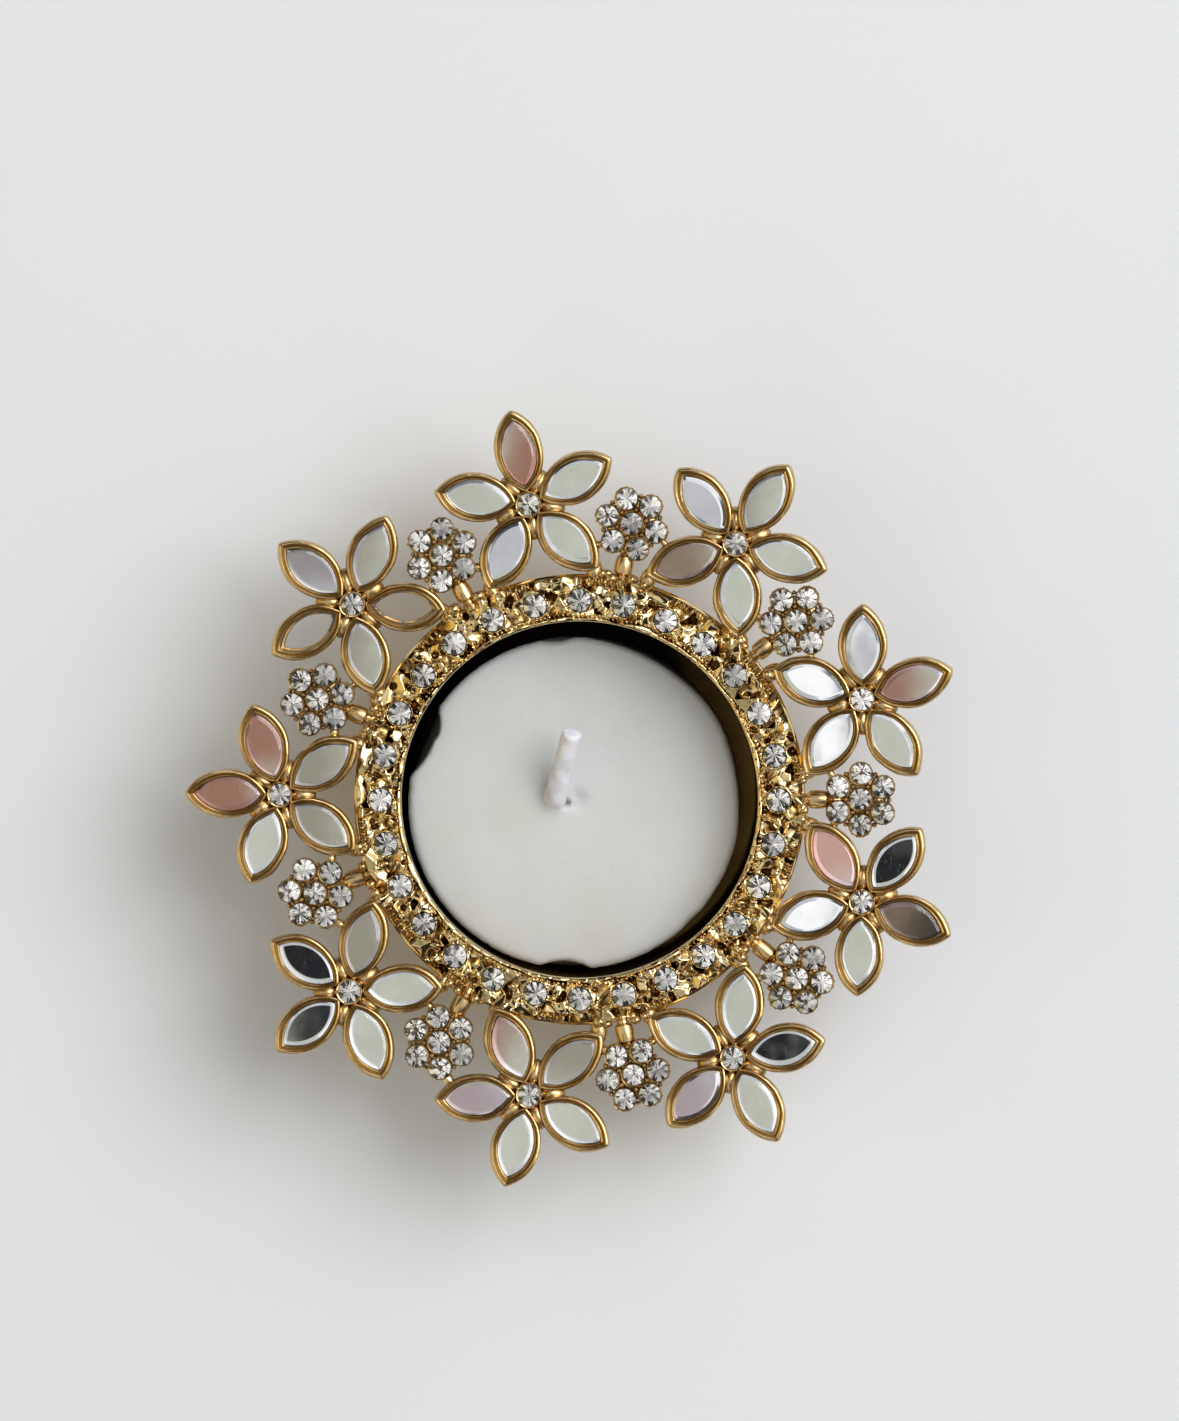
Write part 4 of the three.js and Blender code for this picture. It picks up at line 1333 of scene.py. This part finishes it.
# Mirrors whose silvering is tinted, partly as turned silvering and partly as a painted reflection, by flower
# and petal: the tint it turned to, the side it began from, in degrees, and how far it has spread.
TINTED_MIRRORS = {
    "1_1": (rose_silver, -20, 0.75),
    "2_1": (dull_silver, 180, 0.45),
    "2_3": (brown_silver, 190, 0.90),
    "3_1": (rose_silver, 180, 0.62),
    "4_1": (dark_silver, -20, 0.45),
    "4_3": (pink_silver, 110, 0.90),
    "5_5": (lilac_silver, 180, 0.80),
    "6_3": (dull_silver, 90, 0.85),
    "6_4": (rose_silver, 150, 0.45),
    "6_5": (lilac_silver, 200, 0.90),
    "7_4": (dull_silver, 180, 0.95),
    "8_1": (rose_silver, 200, 1.05),
    "8_3": (dull_silver, 180, 0.85),
    "8_4": (dull_silver, 180, 0.85),
    "8_5": (rose_silver, 110, 0.95),
    "9_1": (dull_silver, 90, 0.75),
    "9_3": (dull_silver, 180, 0.60),
    "9_5": (dull_silver, 180, 0.55),
}
CLEAR_MIRROR = (rose_silver, 0, -0.5)  # spread so little that it doesn't show
SPREAD_FADE = 0.5  # how much less it has spread half a mirror's length away
# Mirrors that lie crooked: how far each leans towards its tip, in degrees.
CROOKED_MIRRORS = {"4_1": 1.0, "5_2": 0.1, "7_1": 0.2, "7_5": -0.2}
BEVEL_SLIP = 0.18  # millimetres, the most that a bevel has slipped


# The candle


class Chip:
    """A bite out of the wax's rim: its direction, width, depth and how far down it runs."""

    def __init__(self, degrees, width, depth, fall):
        self.direction = math.radians(degrees)
        self.width = width
        self.depth = depth
        self.fall = fall


CHIPS = [
    Chip(158, 8.0 * MM, 1.5 * MM, 8 * MM),
    Chip(150, 4.0 * MM, 0.5 * MM, 5 * MM),
    Chip(96, 3.6 * MM, 0.45 * MM, 3 * MM),
    Chip(62, 16 * MM, 0.30 * MM, 6 * MM),
    Chip(8, 12 * MM, 0.25 * MM, 6 * MM),
    Chip(-93, 5.6 * MM, 1.0 * MM, 6 * MM),
    Chip(-45, 3.0 * MM, 0.25 * MM, 2 * MM),
]
WAX_SLIP = Vector((-0.11 * MM, -0.40 * MM, 0))  # how far it has slid on towards the ring
WAX_SIDES = 240
FACE_LEVEL, SIDE_LEVEL = 0.9, 0.5  # over these shares of its height its face and its side are worn
WORN_RIM = 0.9  # outside this share of its radius the side is ragged
WAX_POINTS = node_points("wax")
WAX_FOOT = WAX_POINTS[WAX_POINTS[:, 2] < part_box("wax")[0].z + 1 * MM]
WAX_MIDDLE = Vector((WAX_FOOT.min(0) + WAX_FOOT.max(0)) / 2) + WAX_SLIP
WAX_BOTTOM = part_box("wax")[0].z
WAX_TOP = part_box("wax")[1].z
WAX_RADIUS = (WAX_FOOT[:, 0].max() - WAX_FOOT[:, 0].min()) / 2
WICK_POINTS = node_points("wick")
WICK_FOOT = Vector(WICK_POINTS[WICK_POINTS[:, 2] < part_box("wick")[0].z + FLAT].mean(0))
WICK_END_POINTS = 8  # points of the node round the wick's end
WICK_LEANS = np.linalg.norm(WICK_POINTS[:, :2] - np.array(WICK_FOOT.xy), axis=1)
WICK_ENDS = np.argsort(WICK_LEANS)[-WICK_END_POINTS:]
WICK_END = Vector(WICK_POINTS[WICK_ENDS].mean(0))
WICK_BEND = 1.3  # power of its lean: 1 is straight, more bends it at the foot
WICK_NECK = Vector((WICK_FOOT.x - 0.4 * MM, WICK_FOOT.y, WAX_TOP - 0.4 * MM))  # where it leaves the wax
DENT = Vector((2.6 * MM, 0.0))  # the dent in the wax, from the wick's neck
DENT_DEPTH, DENT_WIDTH = 0.6 * MM, 1.0 * MM
HOLE = Vector((1.4 * MM, -0.55 * MM))  # the small hole beside the wick
HOLE_DEPTH, HOLE_WIDTH = 1.8 * MM, 0.4 * MM
DISH = 0.3 * MM  # how far the wax has sunk in its middle
RISE, RISE_REACH, RISE_FALL = 0.45 * MM, 1.2 * MM, 0.4 * MM  # the wax drawn up round the wick
FOOT_RECESS = 8.9 * MM  # radius of the recess for the wick's foot
WICK_SIDES, WICK_ROWS = 36, 40
STRANDS = 3
STRAND_DEPTH, STRAND_GROOVE, STRAND_PITCH = 0.07, 0.05, 0.9 * MM
WAXED_SHARE, WAXED_ROWS = 0.18, 24  # how much thicker the wick is in its wax, and how far up
WICK_TIP = ((0.93, 0.10), (0.72, 0.22), (0.4, 0.2), (0.12, 0.26))  # share of its width, and millimetres on


def wax_puck():
    """The wax: a worn, chipped puck with a rise and a dent by the wick, and a recess for the wick's foot."""
    height = WAX_TOP - WAX_BOTTOM
    rows = [(FOOT_RECESS, 0.5 * MM), (FOOT_RECESS + 0.1 * MM, 0), (WAX_RADIUS - 0.5 * MM, 0)]
    rows += [(WAX_RADIUS, 0.5 * MM), (WAX_RADIUS, 0.4 * height), (WAX_RADIUS, 0.6 * height)]
    rows += [(WAX_RADIUS, height - fall * MM) for fall in (4, 3.4, 2.8, 2.2, 1.6, 1.1)]
    edge = 0.8 * MM
    for turn in np.linspace(0.15, 1, 6) * math.pi / 2:
        rows.append((WAX_RADIUS - edge * (1 - math.cos(turn)), height - edge * (1 - math.sin(turn))))
    rows += [(radius, height) for radius in np.linspace(WAX_RADIUS - edge, 0.3 * MM, 64)[1:]]
    around = np.linspace(0, 2 * math.pi, WAX_SIDES, endpoint=False)
    rings = []
    for radius, level in rows:
        reach = np.full(WAX_SIDES, radius)
        for chip in CHIPS:
            aside = (around - chip.direction + math.pi) % (2 * math.pi) - math.pi
            bite = np.clip(1 - (2 * aside * WAX_RADIUS / chip.width) ** 2, 0, None)
            deep = np.clip(1 - (height - level) / chip.fall, 0, 1) ** 0.5
            reach = reach - chip.depth * bite * deep * (radius / WAX_RADIUS) ** 10
        ring = np.stack([reach * np.cos(around), reach * np.sin(around), np.full(WAX_SIDES, level)], axis=1)
        rings.append(ring)
    shape = lofted(rings)
    shape.points += np.array((WAX_MIDDLE.x, WAX_MIDDLE.y, WAX_BOTTOM))
    shape.points = np.array([wax_point(Vector(point), height) for point in shape.points])
    return shape


def wax_point(point, height):
    """Where a point of the wax lies once the wax is worn."""
    level = (point.z - WAX_BOTTOM) / height
    away = point.xy - WAX_MIDDLE.xy
    outer = away.length / WAX_RADIUS
    if level > FACE_LEVEL:
        from_wick = (point.xy - WICK_NECK.xy).length
        from_dent = (point.xy - WICK_NECK.xy - DENT).length
        from_hole = (point.xy - WICK_NECK.xy - HOLE).length
        dish = DISH * (1 - outer**2)
        rise = RISE * math.exp(-max(from_wick - RISE_REACH, 0) / RISE_FALL)
        dent = DENT_DEPTH * math.exp(-((from_dent / DENT_WIDTH) ** 2))
        dent += HOLE_DEPTH * math.exp(-((from_hole / HOLE_WIDTH) ** 2))
        wave = 0.10 * MM * noise.noise(point / (5 * MM)) + 0.02 * MM * noise.noise(point / (1.1 * MM))
        point.z += rise + min(wave, 0) - dish - dent
    if level > SIDE_LEVEL and outer > WORN_RIM:
        ragged = 0.16 * MM * noise.noise(point / (1.6 * MM)) + 0.10 * MM * noise.noise(point / (0.6 * MM))
        point.xy -= away.normalized() * abs(ragged) * min((level - SIDE_LEVEL) * 2.4, 1)
    return point


def wick_braid(sizes):
    """The wick: twisted strands that stand in the wax and lean over above it, with a ragged end."""
    radius = sizes.wick / 2
    lean = WICK_END - over(WICK_FOOT, WICK_NECK.z)
    path = [WICK_FOOT, WICK_FOOT.lerp(WICK_NECK, 0.5)]
    for part in np.linspace(0, 1, WICK_ROWS):
        side = over(lean, 0) * part**WICK_BEND
        path.append(WICK_NECK + side + UP * lean.z * part)
    around = np.linspace(0, 2 * math.pi, WICK_SIDES, endpoint=False)
    rings, run = [], 0.0
    for number, place in enumerate(path):
        before, after = path[max(number - 1, 0)], path[min(number + 1, len(path) - 1)]
        along = (after - before).normalized()
        run += (place - before).length
        side = along.cross(Vector((1, 0, 0))).normalized()
        other = along.cross(side)
        twist = STRANDS / 2 * around + run / STRAND_PITCH
        strands = 1 + STRAND_DEPTH * np.abs(np.cos(twist)) - STRAND_GROOVE
        waxed = 1 + WAXED_SHARE * max(1 - number / WAXED_ROWS, 0)
        reach = (radius * waxed * strands)[:, None]
        section = np.outer(np.cos(around), side) + np.outer(np.sin(around), other)
        rings.append(np.array(place) + reach * section)
    last = np.array(path[-1])
    for shrink, rise in WICK_TIP:
        ragged = np.array([noise.noise(Vector((math.cos(a) * 2, math.sin(a) * 2, rise * 9))) for a in around])
        tip = last + (rings[len(path) - 1] - last) * shrink + np.array(along) * rise * MM
        rings.append(tip + np.outer(ragged * 0.10 * MM, along))
    return lofted(rings)


# The cup


CUP_SIDES = 160
CUP_FOOT = 1.6 * MM  # rounding of the cup's foot
CUP_ROLL = 0.4 * MM  # rounding of its flange


def candle_cup(sizes):
    """The cup: a spun dish with a rolled flange under the ring, plated outside, and dark inside with painted
    shade.
    """
    low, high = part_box("cup")
    points = node_points("cup")
    radii = np.hypot(points[:, 0], points[:, 1])
    flange = radii.max()
    body = radii[points[:, 2] < high.z - 2 * sizes.cup_wall].max()
    bore = body - sizes.cup_wall
    foot, roll = CUP_FOOT, CUP_ROLL
    top, under = high.z, high.z - sizes.cup_wall
    rows = [(0.5 * MM, 0.25 * MM), (body - foot - 3 * MM, 0.25 * MM), (body - foot - 2.4 * MM, 0.0)]
    rows += [(body - foot - 0.6 * MM, 0.0)]
    for turn in np.linspace(0, 1, 9) * math.pi / 2:
        rows.append((body - foot * (1 - math.sin(turn)), foot * (1 - math.cos(turn))))
    rows += [(body, foot + part * (under - foot)) for part in (0.2, 0.45, 0.7, 0.9)]
    rows += [(body + 0.1 * MM, under - 0.15 * MM), (body + 0.3 * MM, under)]
    for turn in np.linspace(0, 1, 7) * math.pi:
        rows.append((flange - roll + roll * math.sin(turn), (top + under) / 2 - roll * math.cos(turn)))
    outside = len(rows)
    rows += [(bore + 0.25 * MM, top), (bore, top - 0.25 * MM)]
    rows += [(bore, foot + part * (top - foot)) for part in (0.8, 0.55, 0.3, 0.1)]
    floor = sizes.cup_wall + 0.1 * MM
    for turn in np.linspace(0, 1, 6) * math.pi / 2:
        inside = foot - sizes.cup_wall
        rows.append((bore - inside * (1 - math.cos(turn)), floor + inside * (1 - math.sin(turn))))
    rows.append((0.5 * MM, floor))
    shape = turned([(radius, low.z + height) for radius, height in rows], CUP_SIDES)
    rings = np.minimum(np.arange(len(shape.faces)) // CUP_SIDES, len(rows))
    shape.finish = (rings >= outside).astype(int)
    shape.finish[-2] = 0
    return shape


# Solder and glue


def solder_joints(sizes):
    """Blobs where a petal all but touches a cluster."""
    draw = random.Random(SEED)
    shapes = []
    for place in FLOWER_PLACES:
        middle = place.reach - sizes.petal_length / 2
        outline = marquise(sizes.petal_length / 2, sizes.petal_width / 2, grow=0, tip=sizes.petal_tip)
        rims = []
        for direction in place.angles:
            pose = place.pose @ Matrix.Rotation(direction, 4, "Z") @ Matrix.Translation((middle, 0, 0))
            rims += [pose @ Vector(point + (0, 0, 0.55 * sizes.petal_height)) for point in outline]
        for cluster in CLUSTER_SEATS:
            if (cluster[0].xy - place.pose.translation.xy).length > 2 * place.reach:
                continue
            gaps = [((rim.xy - seat.xy).length, rim, seat) for seat in cluster[1:] for rim in rims]
            away, rim, seat = min(gaps, key=lambda gap: gap[0])
            towards = Vector((*(seat.xy - rim.xy).normalized(), 0))
            gap = away - sizes.cluster_crystal / 2
            centre = rim + towards * gap / 2
            blob = bead(gap + 1.0 * MM, draw.uniform(0.9, 1.3) * MM, draw.uniform(1.2, 1.7) * MM, sides=14)
            blob = blob.moved(at(Vector(), math.atan2(towards.y, towards.x)))
            shapes.append(blob.moved(at(centre)))
    return roughened(together(shapes), size=0.5 * MM, amount=0.09 * MM, seed=3)


def empty_petals():
    """The flower and the petal angle of each frame that has lost its mirror."""
    empty = []
    for number, place in enumerate(FLOWER_PLACES, 1):
        for petal, direction in enumerate(place.angles, 1):
            if f"flower_{number}_mirror_{petal}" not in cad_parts:
                empty.append((place, direction))
    return empty


CRUMBS = 11  # in each empty frame


def glue_crumbs(sizes):
    """What is left of the glue on the ledges of the empty frames."""
    draw = random.Random(SEED)
    shapes = []
    for place, direction in empty_petals():
        middle = place.reach - sizes.petal_length / 2
        pose = place.pose @ Matrix.Rotation(direction, 4, "Z") @ Matrix.Translation((middle, 0, 0))
        ledge = marquise(sizes.petal_length / 2, sizes.petal_width / 2, grow=-0.82 * MM, tip=0.06 * MM)
        for _ in range(CRUMBS):
            near_hub = draw.random() < 0.6
            spots = ledge[ledge[:, 0] < -2.4 * MM] if near_hub else ledge
            spot = draw.choice(spots.tolist())
            size = draw.uniform(0.3, 0.75) * MM
            crumb = bead(size * 1.4, size, size * 0.8, sides=8).moved(at(Vector(), draw.uniform(0, 3)))
            spot[2] = sizes.ledge_height + size * 0.25
            shapes.append(crumb.moved(pose @ at(Vector(spot))))
    return roughened(together(shapes), size=0.3 * MM, amount=0.12 * MM, seed=5)


# Studio


LOOK_AT = Vector((1.14 * MM, 9.93 * MM, RING_TOP))  # the middle of the picture
SENSOR = 36.0  # millimetres, the picture's height
FLOOR_SIZE = 3.0
DAYLIGHT = (1.0, 0.995, 0.99)
# What the object reflects: colours of the room's light
LENS = (0.020, 0.021, 0.024)
CEILING = (0.53, 0.545, 0.47), (0.60, 0.615, 0.53)
PALE_WALL = (0.52, 0.52, 0.57), (0.66, 0.66, 0.69)
BLIND = (1.10, 1.10, 1.12)
WINDOW = (1.5, 1.5, 1.5)
FAR_WALL = (0.035, 0.032, 0.030), (0.95, 0.95, 0.96)
LAMPLIGHT = (1.0, 0.80, 0.30)
FLOOR_GLOW = (0.6, 0.6, 0.6)
BACKDROP = (0.74, 0.74, 0.735)


def add_floor(scene):
    """A sheet of paper under the object."""
    mesh = bpy.data.meshes.new("floor")
    half = FLOOR_SIZE / 2
    corners = [(-half, -half, 0), (half, -half, 0), (half, half, 0), (-half, half, 0)]
    mesh.from_pydata(corners, [], [(0, 1, 2, 3)])
    mesh.materials.append(floor_paper())
    floor = bpy.data.objects.new("floor", mesh)
    scene.collection.objects.link(floor)


def add_key_light(scene, stage):
    """A large soft light, high on one side."""
    light = bpy.data.lights.new("key", "AREA")
    light.shape = "DISK"
    light.size = stage.key_size
    light.energy = stage.key_power
    light.color = DAYLIGHT
    lamp = bpy.data.objects.new("key", light)
    lamp.visible_transmission = False
    aim = on_circle(math.cos(stage.key_elevation), stage.key_side, math.sin(stage.key_elevation))
    lamp.location = LOOK_AT + aim * stage.key_distance
    lamp.rotation_euler = aim.to_track_quat("Z", "Y").to_euler()
    scene.collection.objects.link(lamp)


def paint_room(scene):
    """The light of the room: a grey-green ceiling, pale walls with dark gaps, and a plain pale backdrop.

    Each part of it is a band of directions, in which a ray's X, Y and Z run from -1 to 1.
    """
    world = bpy.data.worlds.new("room")
    scene.world = world
    world.use_nodes = True
    room = Nodes(world.node_tree)
    ray = room.place("Generated")
    x = room.along("X", ray)
    y = room.along("Y", ray)
    z = room.along("Z", ray)
    from_top = (1 - z * z) ** 0.5
    lens = ((x + 0.026) ** 2 + (y + 0.046) ** 2) ** 0.5
    window = (x * 0.55 + y * 0.34 + z * 0.77).between(0.80, 0.98)
    sector = room.node("ShaderNodeMath", {"operation": "ARCTAN2"}, {0: y, 1: x})
    fine = room.node("ShaderNodeMath", {"operation": "SINE"}, {0: sector * 5 + z * 6})
    broad = room.node("ShaderNodeMath", {"operation": "SINE"}, {0: sector * 2 + 0.6})
    gaps = (fine + broad * 0.7).between(-0.05, 0.40)
    haze = room.noise(0.035, detail=2, vector=ray).between(0.25, 0.75)
    far_left = (0 - x * 0.98 - y * 0.2).between(0.6, 0.92)
    plaster = room.mix(gaps, *FAR_WALL)
    walls = room.mix(far_left, plaster, LAMPLIGHT)
    blind = (0 - x / z).between(0.222, 0.233)
    pale = room.mix(haze, *PALE_WALL)
    bright = room.mix(blind, pale, BLIND)
    upper = room.mix(from_top.between(0.28, 0.42), bright, walls)
    lit = room.mix(window, upper, WINDOW)
    green = room.mix(haze, *CEILING)
    from_ceiling = (x**2 + (y + 0.010) ** 2) ** 0.5
    ceiling = room.mix(from_ceiling.between(0.148, 0.162), green, lit)
    overhead = room.mix(lens.between(0.012, 0.060), LENS, ceiling)
    below = room.mix(z.between(-0.02, 0.02), FLOOR_GLOW, overhead)
    seen = room.node("ShaderNodeLightPath", output="Is Camera Ray")
    shown = room.mix(seen, below, BACKDROP)
    background = room.node("ShaderNodeBackground", None, {"Color": shown, "Strength": 1.0})
    output = room.tree.nodes.new("ShaderNodeOutputWorld")
    room.feed(output.inputs["Surface"], background)


def add_camera(scene, stage):
    """A camera that looks down at the object, with the picture's height on its sensor."""
    camera = bpy.data.cameras.new("camera")
    lean = math.tan(stage.camera_lean)
    fall = stage.camera_height - LOOK_AT.z
    offset = Vector((math.cos(stage.camera_side) * lean, math.sin(stage.camera_side) * lean, 1)) * fall
    camera.sensor_width = SENSOR
    camera.lens = SENSOR * offset.length / stage.frame_height
    view = bpy.data.objects.new("camera", camera)
    view.location = LOOK_AT + offset
    back = offset.normalized()
    right = Vector((1, 0, 0))
    right = (right - back * right.dot(back)).normalized()
    view.rotation_euler = Matrix((right, back.cross(right), back)).transposed().to_euler()
    scene.collection.objects.link(view)
    scene.camera = view


# Operators


class TEALIGHT_OT_cup(bpy.types.Operator):
    """Spin the candle cup"""

    bl_idname = "tealight.cup"
    bl_label = "Candle Cup"

    def execute(self, context):
        sizes = context.scene.tealight_sizes
        finishes = [spun_gold(), dark_lining()]
        add_piece("candle_cup", candle_cup(sizes), finishes, "holder", ["cup"])
        return {"FINISHED"}


class TEALIGHT_OT_ring(bpy.types.Operator):
    """Cast the crystal ring"""

    bl_idname = "tealight.ring"
    bl_label = "Ring Casting"

    def execute(self, context):
        shape = ring_casting(context.scene.tealight_sizes)
        add_piece("ring_casting", shape, [cast_gold()], "holder", ["crystal_ring"], sharp=75)
        return {"FINISHED"}


class TEALIGHT_OT_clusters(bpy.types.Operator):
    """Make the settings of the crystal clusters"""

    bl_idname = "tealight.clusters"
    bl_label = "Cluster Settings"

    def execute(self, context):
        sizes = context.scene.tealight_sizes
        for number, seats in enumerate(CLUSTER_SEATS, 1):
            shape = cluster_setting(seats, sizes, random.Random(SEED + number))
            shape = roughened(shape, size=1.2 * MM, amount=0.03 * MM, seed=number)
            name = f"cluster_{number}_setting"
            add_piece(name, shape, [satin_gold()], "holder", ["crystal_ring"])
        return {"FINISHED"}


class TEALIGHT_OT_crystals(bpy.types.Operator):
    """Cut the crystals and set them in the ring, the clusters and the hubs"""

    bl_idname = "tealight.crystals"
    bl_label = "Crystals"

    def execute(self, context):
        sizes = context.scene.tealight_sizes
        draw = random.Random(SEED)
        crown = CRYSTAL_TOP - RING_TOP

        def crystal(diameter, pose, lean):
            across, along = draw.uniform(-lean, lean), draw.uniform(-lean, lean)
            tilt = Matrix.Rotation(across, 4, "X") @ Matrix.Rotation(along, 4, "Y")
            turn = Matrix.Rotation(draw.uniform(0, math.pi), 4, "Z")
            radius = diameter / 2 * CRYSTAL_FIT
            depth = radius * CULET_SLOPE * draw.uniform(0.91, 1)
            return brilliant(radius, CROWN_FILL * crown, depth, draw).moved(pose @ tilt @ turn)

        def add(name, shape, node):
            add_piece(name, shape, [crystal_glass(), crystal_foil()], "holder", [node], sharp=1)

        in_ring = [crystal(sizes.ring_crystal, at(seat - UP * crown), RING_LEAN) for seat in RING_SEATS]
        add("ring_crystals", together(in_ring), "crystal_ring")
        for number, seats in enumerate(CLUSTER_SEATS, 1):
            stones = [crystal(sizes.cluster_crystal, at(seat - UP * crown), CLUSTER_LEAN) for seat in seats]
            add(f"cluster_{number}_crystals", together(stones), "crystal_ring")
        for number, place in enumerate(FLOWER_PLACES, 1):
            pose = place.pose @ Matrix.Translation((0, 0, place.table - crown))
            add(f"flower_{number}_crystal", crystal(sizes.hub_crystal, pose, HUB_LEAN), place.node)
        return {"FINISHED"}


class TEALIGHT_OT_flowers(bpy.types.Operator):
    """Cast the flower frames"""

    bl_idname = "tealight.flowers"
    bl_label = "Flower Frames"

    def execute(self, context):
        sizes = context.scene.tealight_sizes
        for number, place in enumerate(FLOWER_PLACES, 1):
            shape = flower_casting(place, sizes, number).moved(place.pose)
            name = f"flower_{number}_casting"
            add_piece(name, shape, [satin_gold()], "holder", [place.node])
        return {"FINISHED"}


class TEALIGHT_OT_mirrors(bpy.types.Operator):
    """Cut the mirrors and glue them into the flowers"""

    bl_idname = "tealight.mirrors"
    bl_label = "Mirrors"

    def execute(self, context):
        sizes = context.scene.tealight_sizes
        draw = random.Random(SEED)
        for place in MIRROR_PLACES:
            number = place.node.replace("flower_", "").replace("mirror_", "")
            shape = mirror_glass(place, sizes, draw.uniform(-BEVEL_SLIP, BEVEL_SLIP) * MM)
            # The tint paints partly a reflection, partly turned silvering
            mirror_tint, degrees, spread = TINTED_MIRRORS.get(number, CLEAR_MIRROR)
            toward = on_circle(1 / place.half_length, math.radians(degrees), 0)
            spots = shape.moved(place.pose).points - place.pose.translation
            shape.hollow = spread + SPREAD_FADE * spots @ np.array(toward)
            outward = place.pose.translation - FLOWER_PLACES[int(number[0]) - 1].pose.translation
            lean = math.radians(CROOKED_MIRRORS.get(number, 0))
            crooked = Matrix.Rotation(lean, 3, UP.cross(outward)) @ place.pose.to_3x3()
            nearer = TIP_THICKER * MIRROR_RIM * outward.normalized()
            shape = shape.moved(Matrix.Translation(place.pose.translation - nearer) @ crooked.to_4x4())
            finishes = [mirror_face(), mirror_tint(), back_lacquer(), mirror_bevel()]
            add_piece(f"{place.node}_glass", shape, finishes, "holder", [place.node], sharp=4)
        return {"FINISHED"}


class TEALIGHT_OT_joints(bpy.types.Operator):
    """Add the solder between petals and clusters, and the glue left in empty frames"""

    bl_idname = "tealight.joints"
    bl_label = "Solder and Glue"

    def execute(self, context):
        sizes = context.scene.tealight_sizes
        add_piece("solder", solder_joints(sizes), [cast_gold()], "holder", [])
        add_piece("glue", glue_crumbs(sizes), [dried_glue()], "holder", [])
        return {"FINISHED"}


class TEALIGHT_OT_candle(bpy.types.Operator):
    """Make the candle: wax, wick and the wick's foot"""

    bl_idname = "tealight.candle"
    bl_label = "Candle"

    def execute(self, context):
        sizes = context.scene.tealight_sizes
        add_piece("wax_puck", wax_puck(), [candle_wax()], "tealight", ["wax"], sharp=60)
        braid = wick_braid(sizes)
        add_piece("wick_braid", braid, [wick_cotton()], "tealight", ["wick"], sharp=60)
        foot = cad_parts["wick_sustainer"]
        foot.data.materials.clear()
        foot.data.materials.append(tin_plate())
        return {"FINISHED"}


class TEALIGHT_OT_studio(bpy.types.Operator):
    """Lay the floor and set the light and the camera"""

    bl_idname = "tealight.studio"
    bl_label = "Studio"

    def execute(self, context):
        stage = context.scene.tealight_stage
        add_floor(context.scene)
        add_key_light(context.scene, stage)
        paint_room(context.scene)
        add_camera(context.scene, stage)
        context.scene.view_settings.view_transform = "Standard"
        return {"FINISHED"}


# Panel and registration


STEPS = ("cup", "ring", "clusters", "crystals", "flowers", "mirrors", "joints", "candle", "studio")


class TEALIGHT_PT_panel(bpy.types.Panel):
    """The tealight holder's steps, sizes, colours and stage"""

    bl_idname = "TEALIGHT_PT_panel"
    bl_label = "Flower Tealight Holder"
    bl_space_type = "VIEW_3D"
    bl_region_type = "UI"
    bl_category = "Tealight"

    def draw(self, context):
        for step in STEPS:
            self.layout.operator(f"tealight.{step}")
        scene = context.scene
        for group in (scene.tealight_sizes, scene.tealight_colours, scene.tealight_stage):
            box = self.layout.box()
            for name in group.__annotations__:
                box.prop(group, name)


CLASSES = (
    TealightSizes,
    TealightColours,
    TealightStage,
    TEALIGHT_OT_cup,
    TEALIGHT_OT_ring,
    TEALIGHT_OT_clusters,
    TEALIGHT_OT_crystals,
    TEALIGHT_OT_flowers,
    TEALIGHT_OT_mirrors,
    TEALIGHT_OT_joints,
    TEALIGHT_OT_candle,
    TEALIGHT_OT_studio,
    TEALIGHT_PT_panel,
)


def register():
    """Makes the classes and the scene's properties known."""
    for made in CLASSES:
        bpy.utils.register_class(made)
    bpy.types.Scene.tealight_sizes = bpy.props.PointerProperty(type=TealightSizes)
    bpy.types.Scene.tealight_colours = bpy.props.PointerProperty(type=TealightColours)
    bpy.types.Scene.tealight_stage = bpy.props.PointerProperty(type=TealightStage)


def unregister():
    """Takes them away again."""
    del bpy.types.Scene.tealight_stage
    del bpy.types.Scene.tealight_colours
    del bpy.types.Scene.tealight_sizes
    for made in reversed(CLASSES):
        bpy.utils.unregister_class(made)


def main():
    """Builds the pieces and the studio."""
    register()
    for step in STEPS:
        getattr(bpy.ops.tealight, step)()


if __name__ == "__main__":
    main()
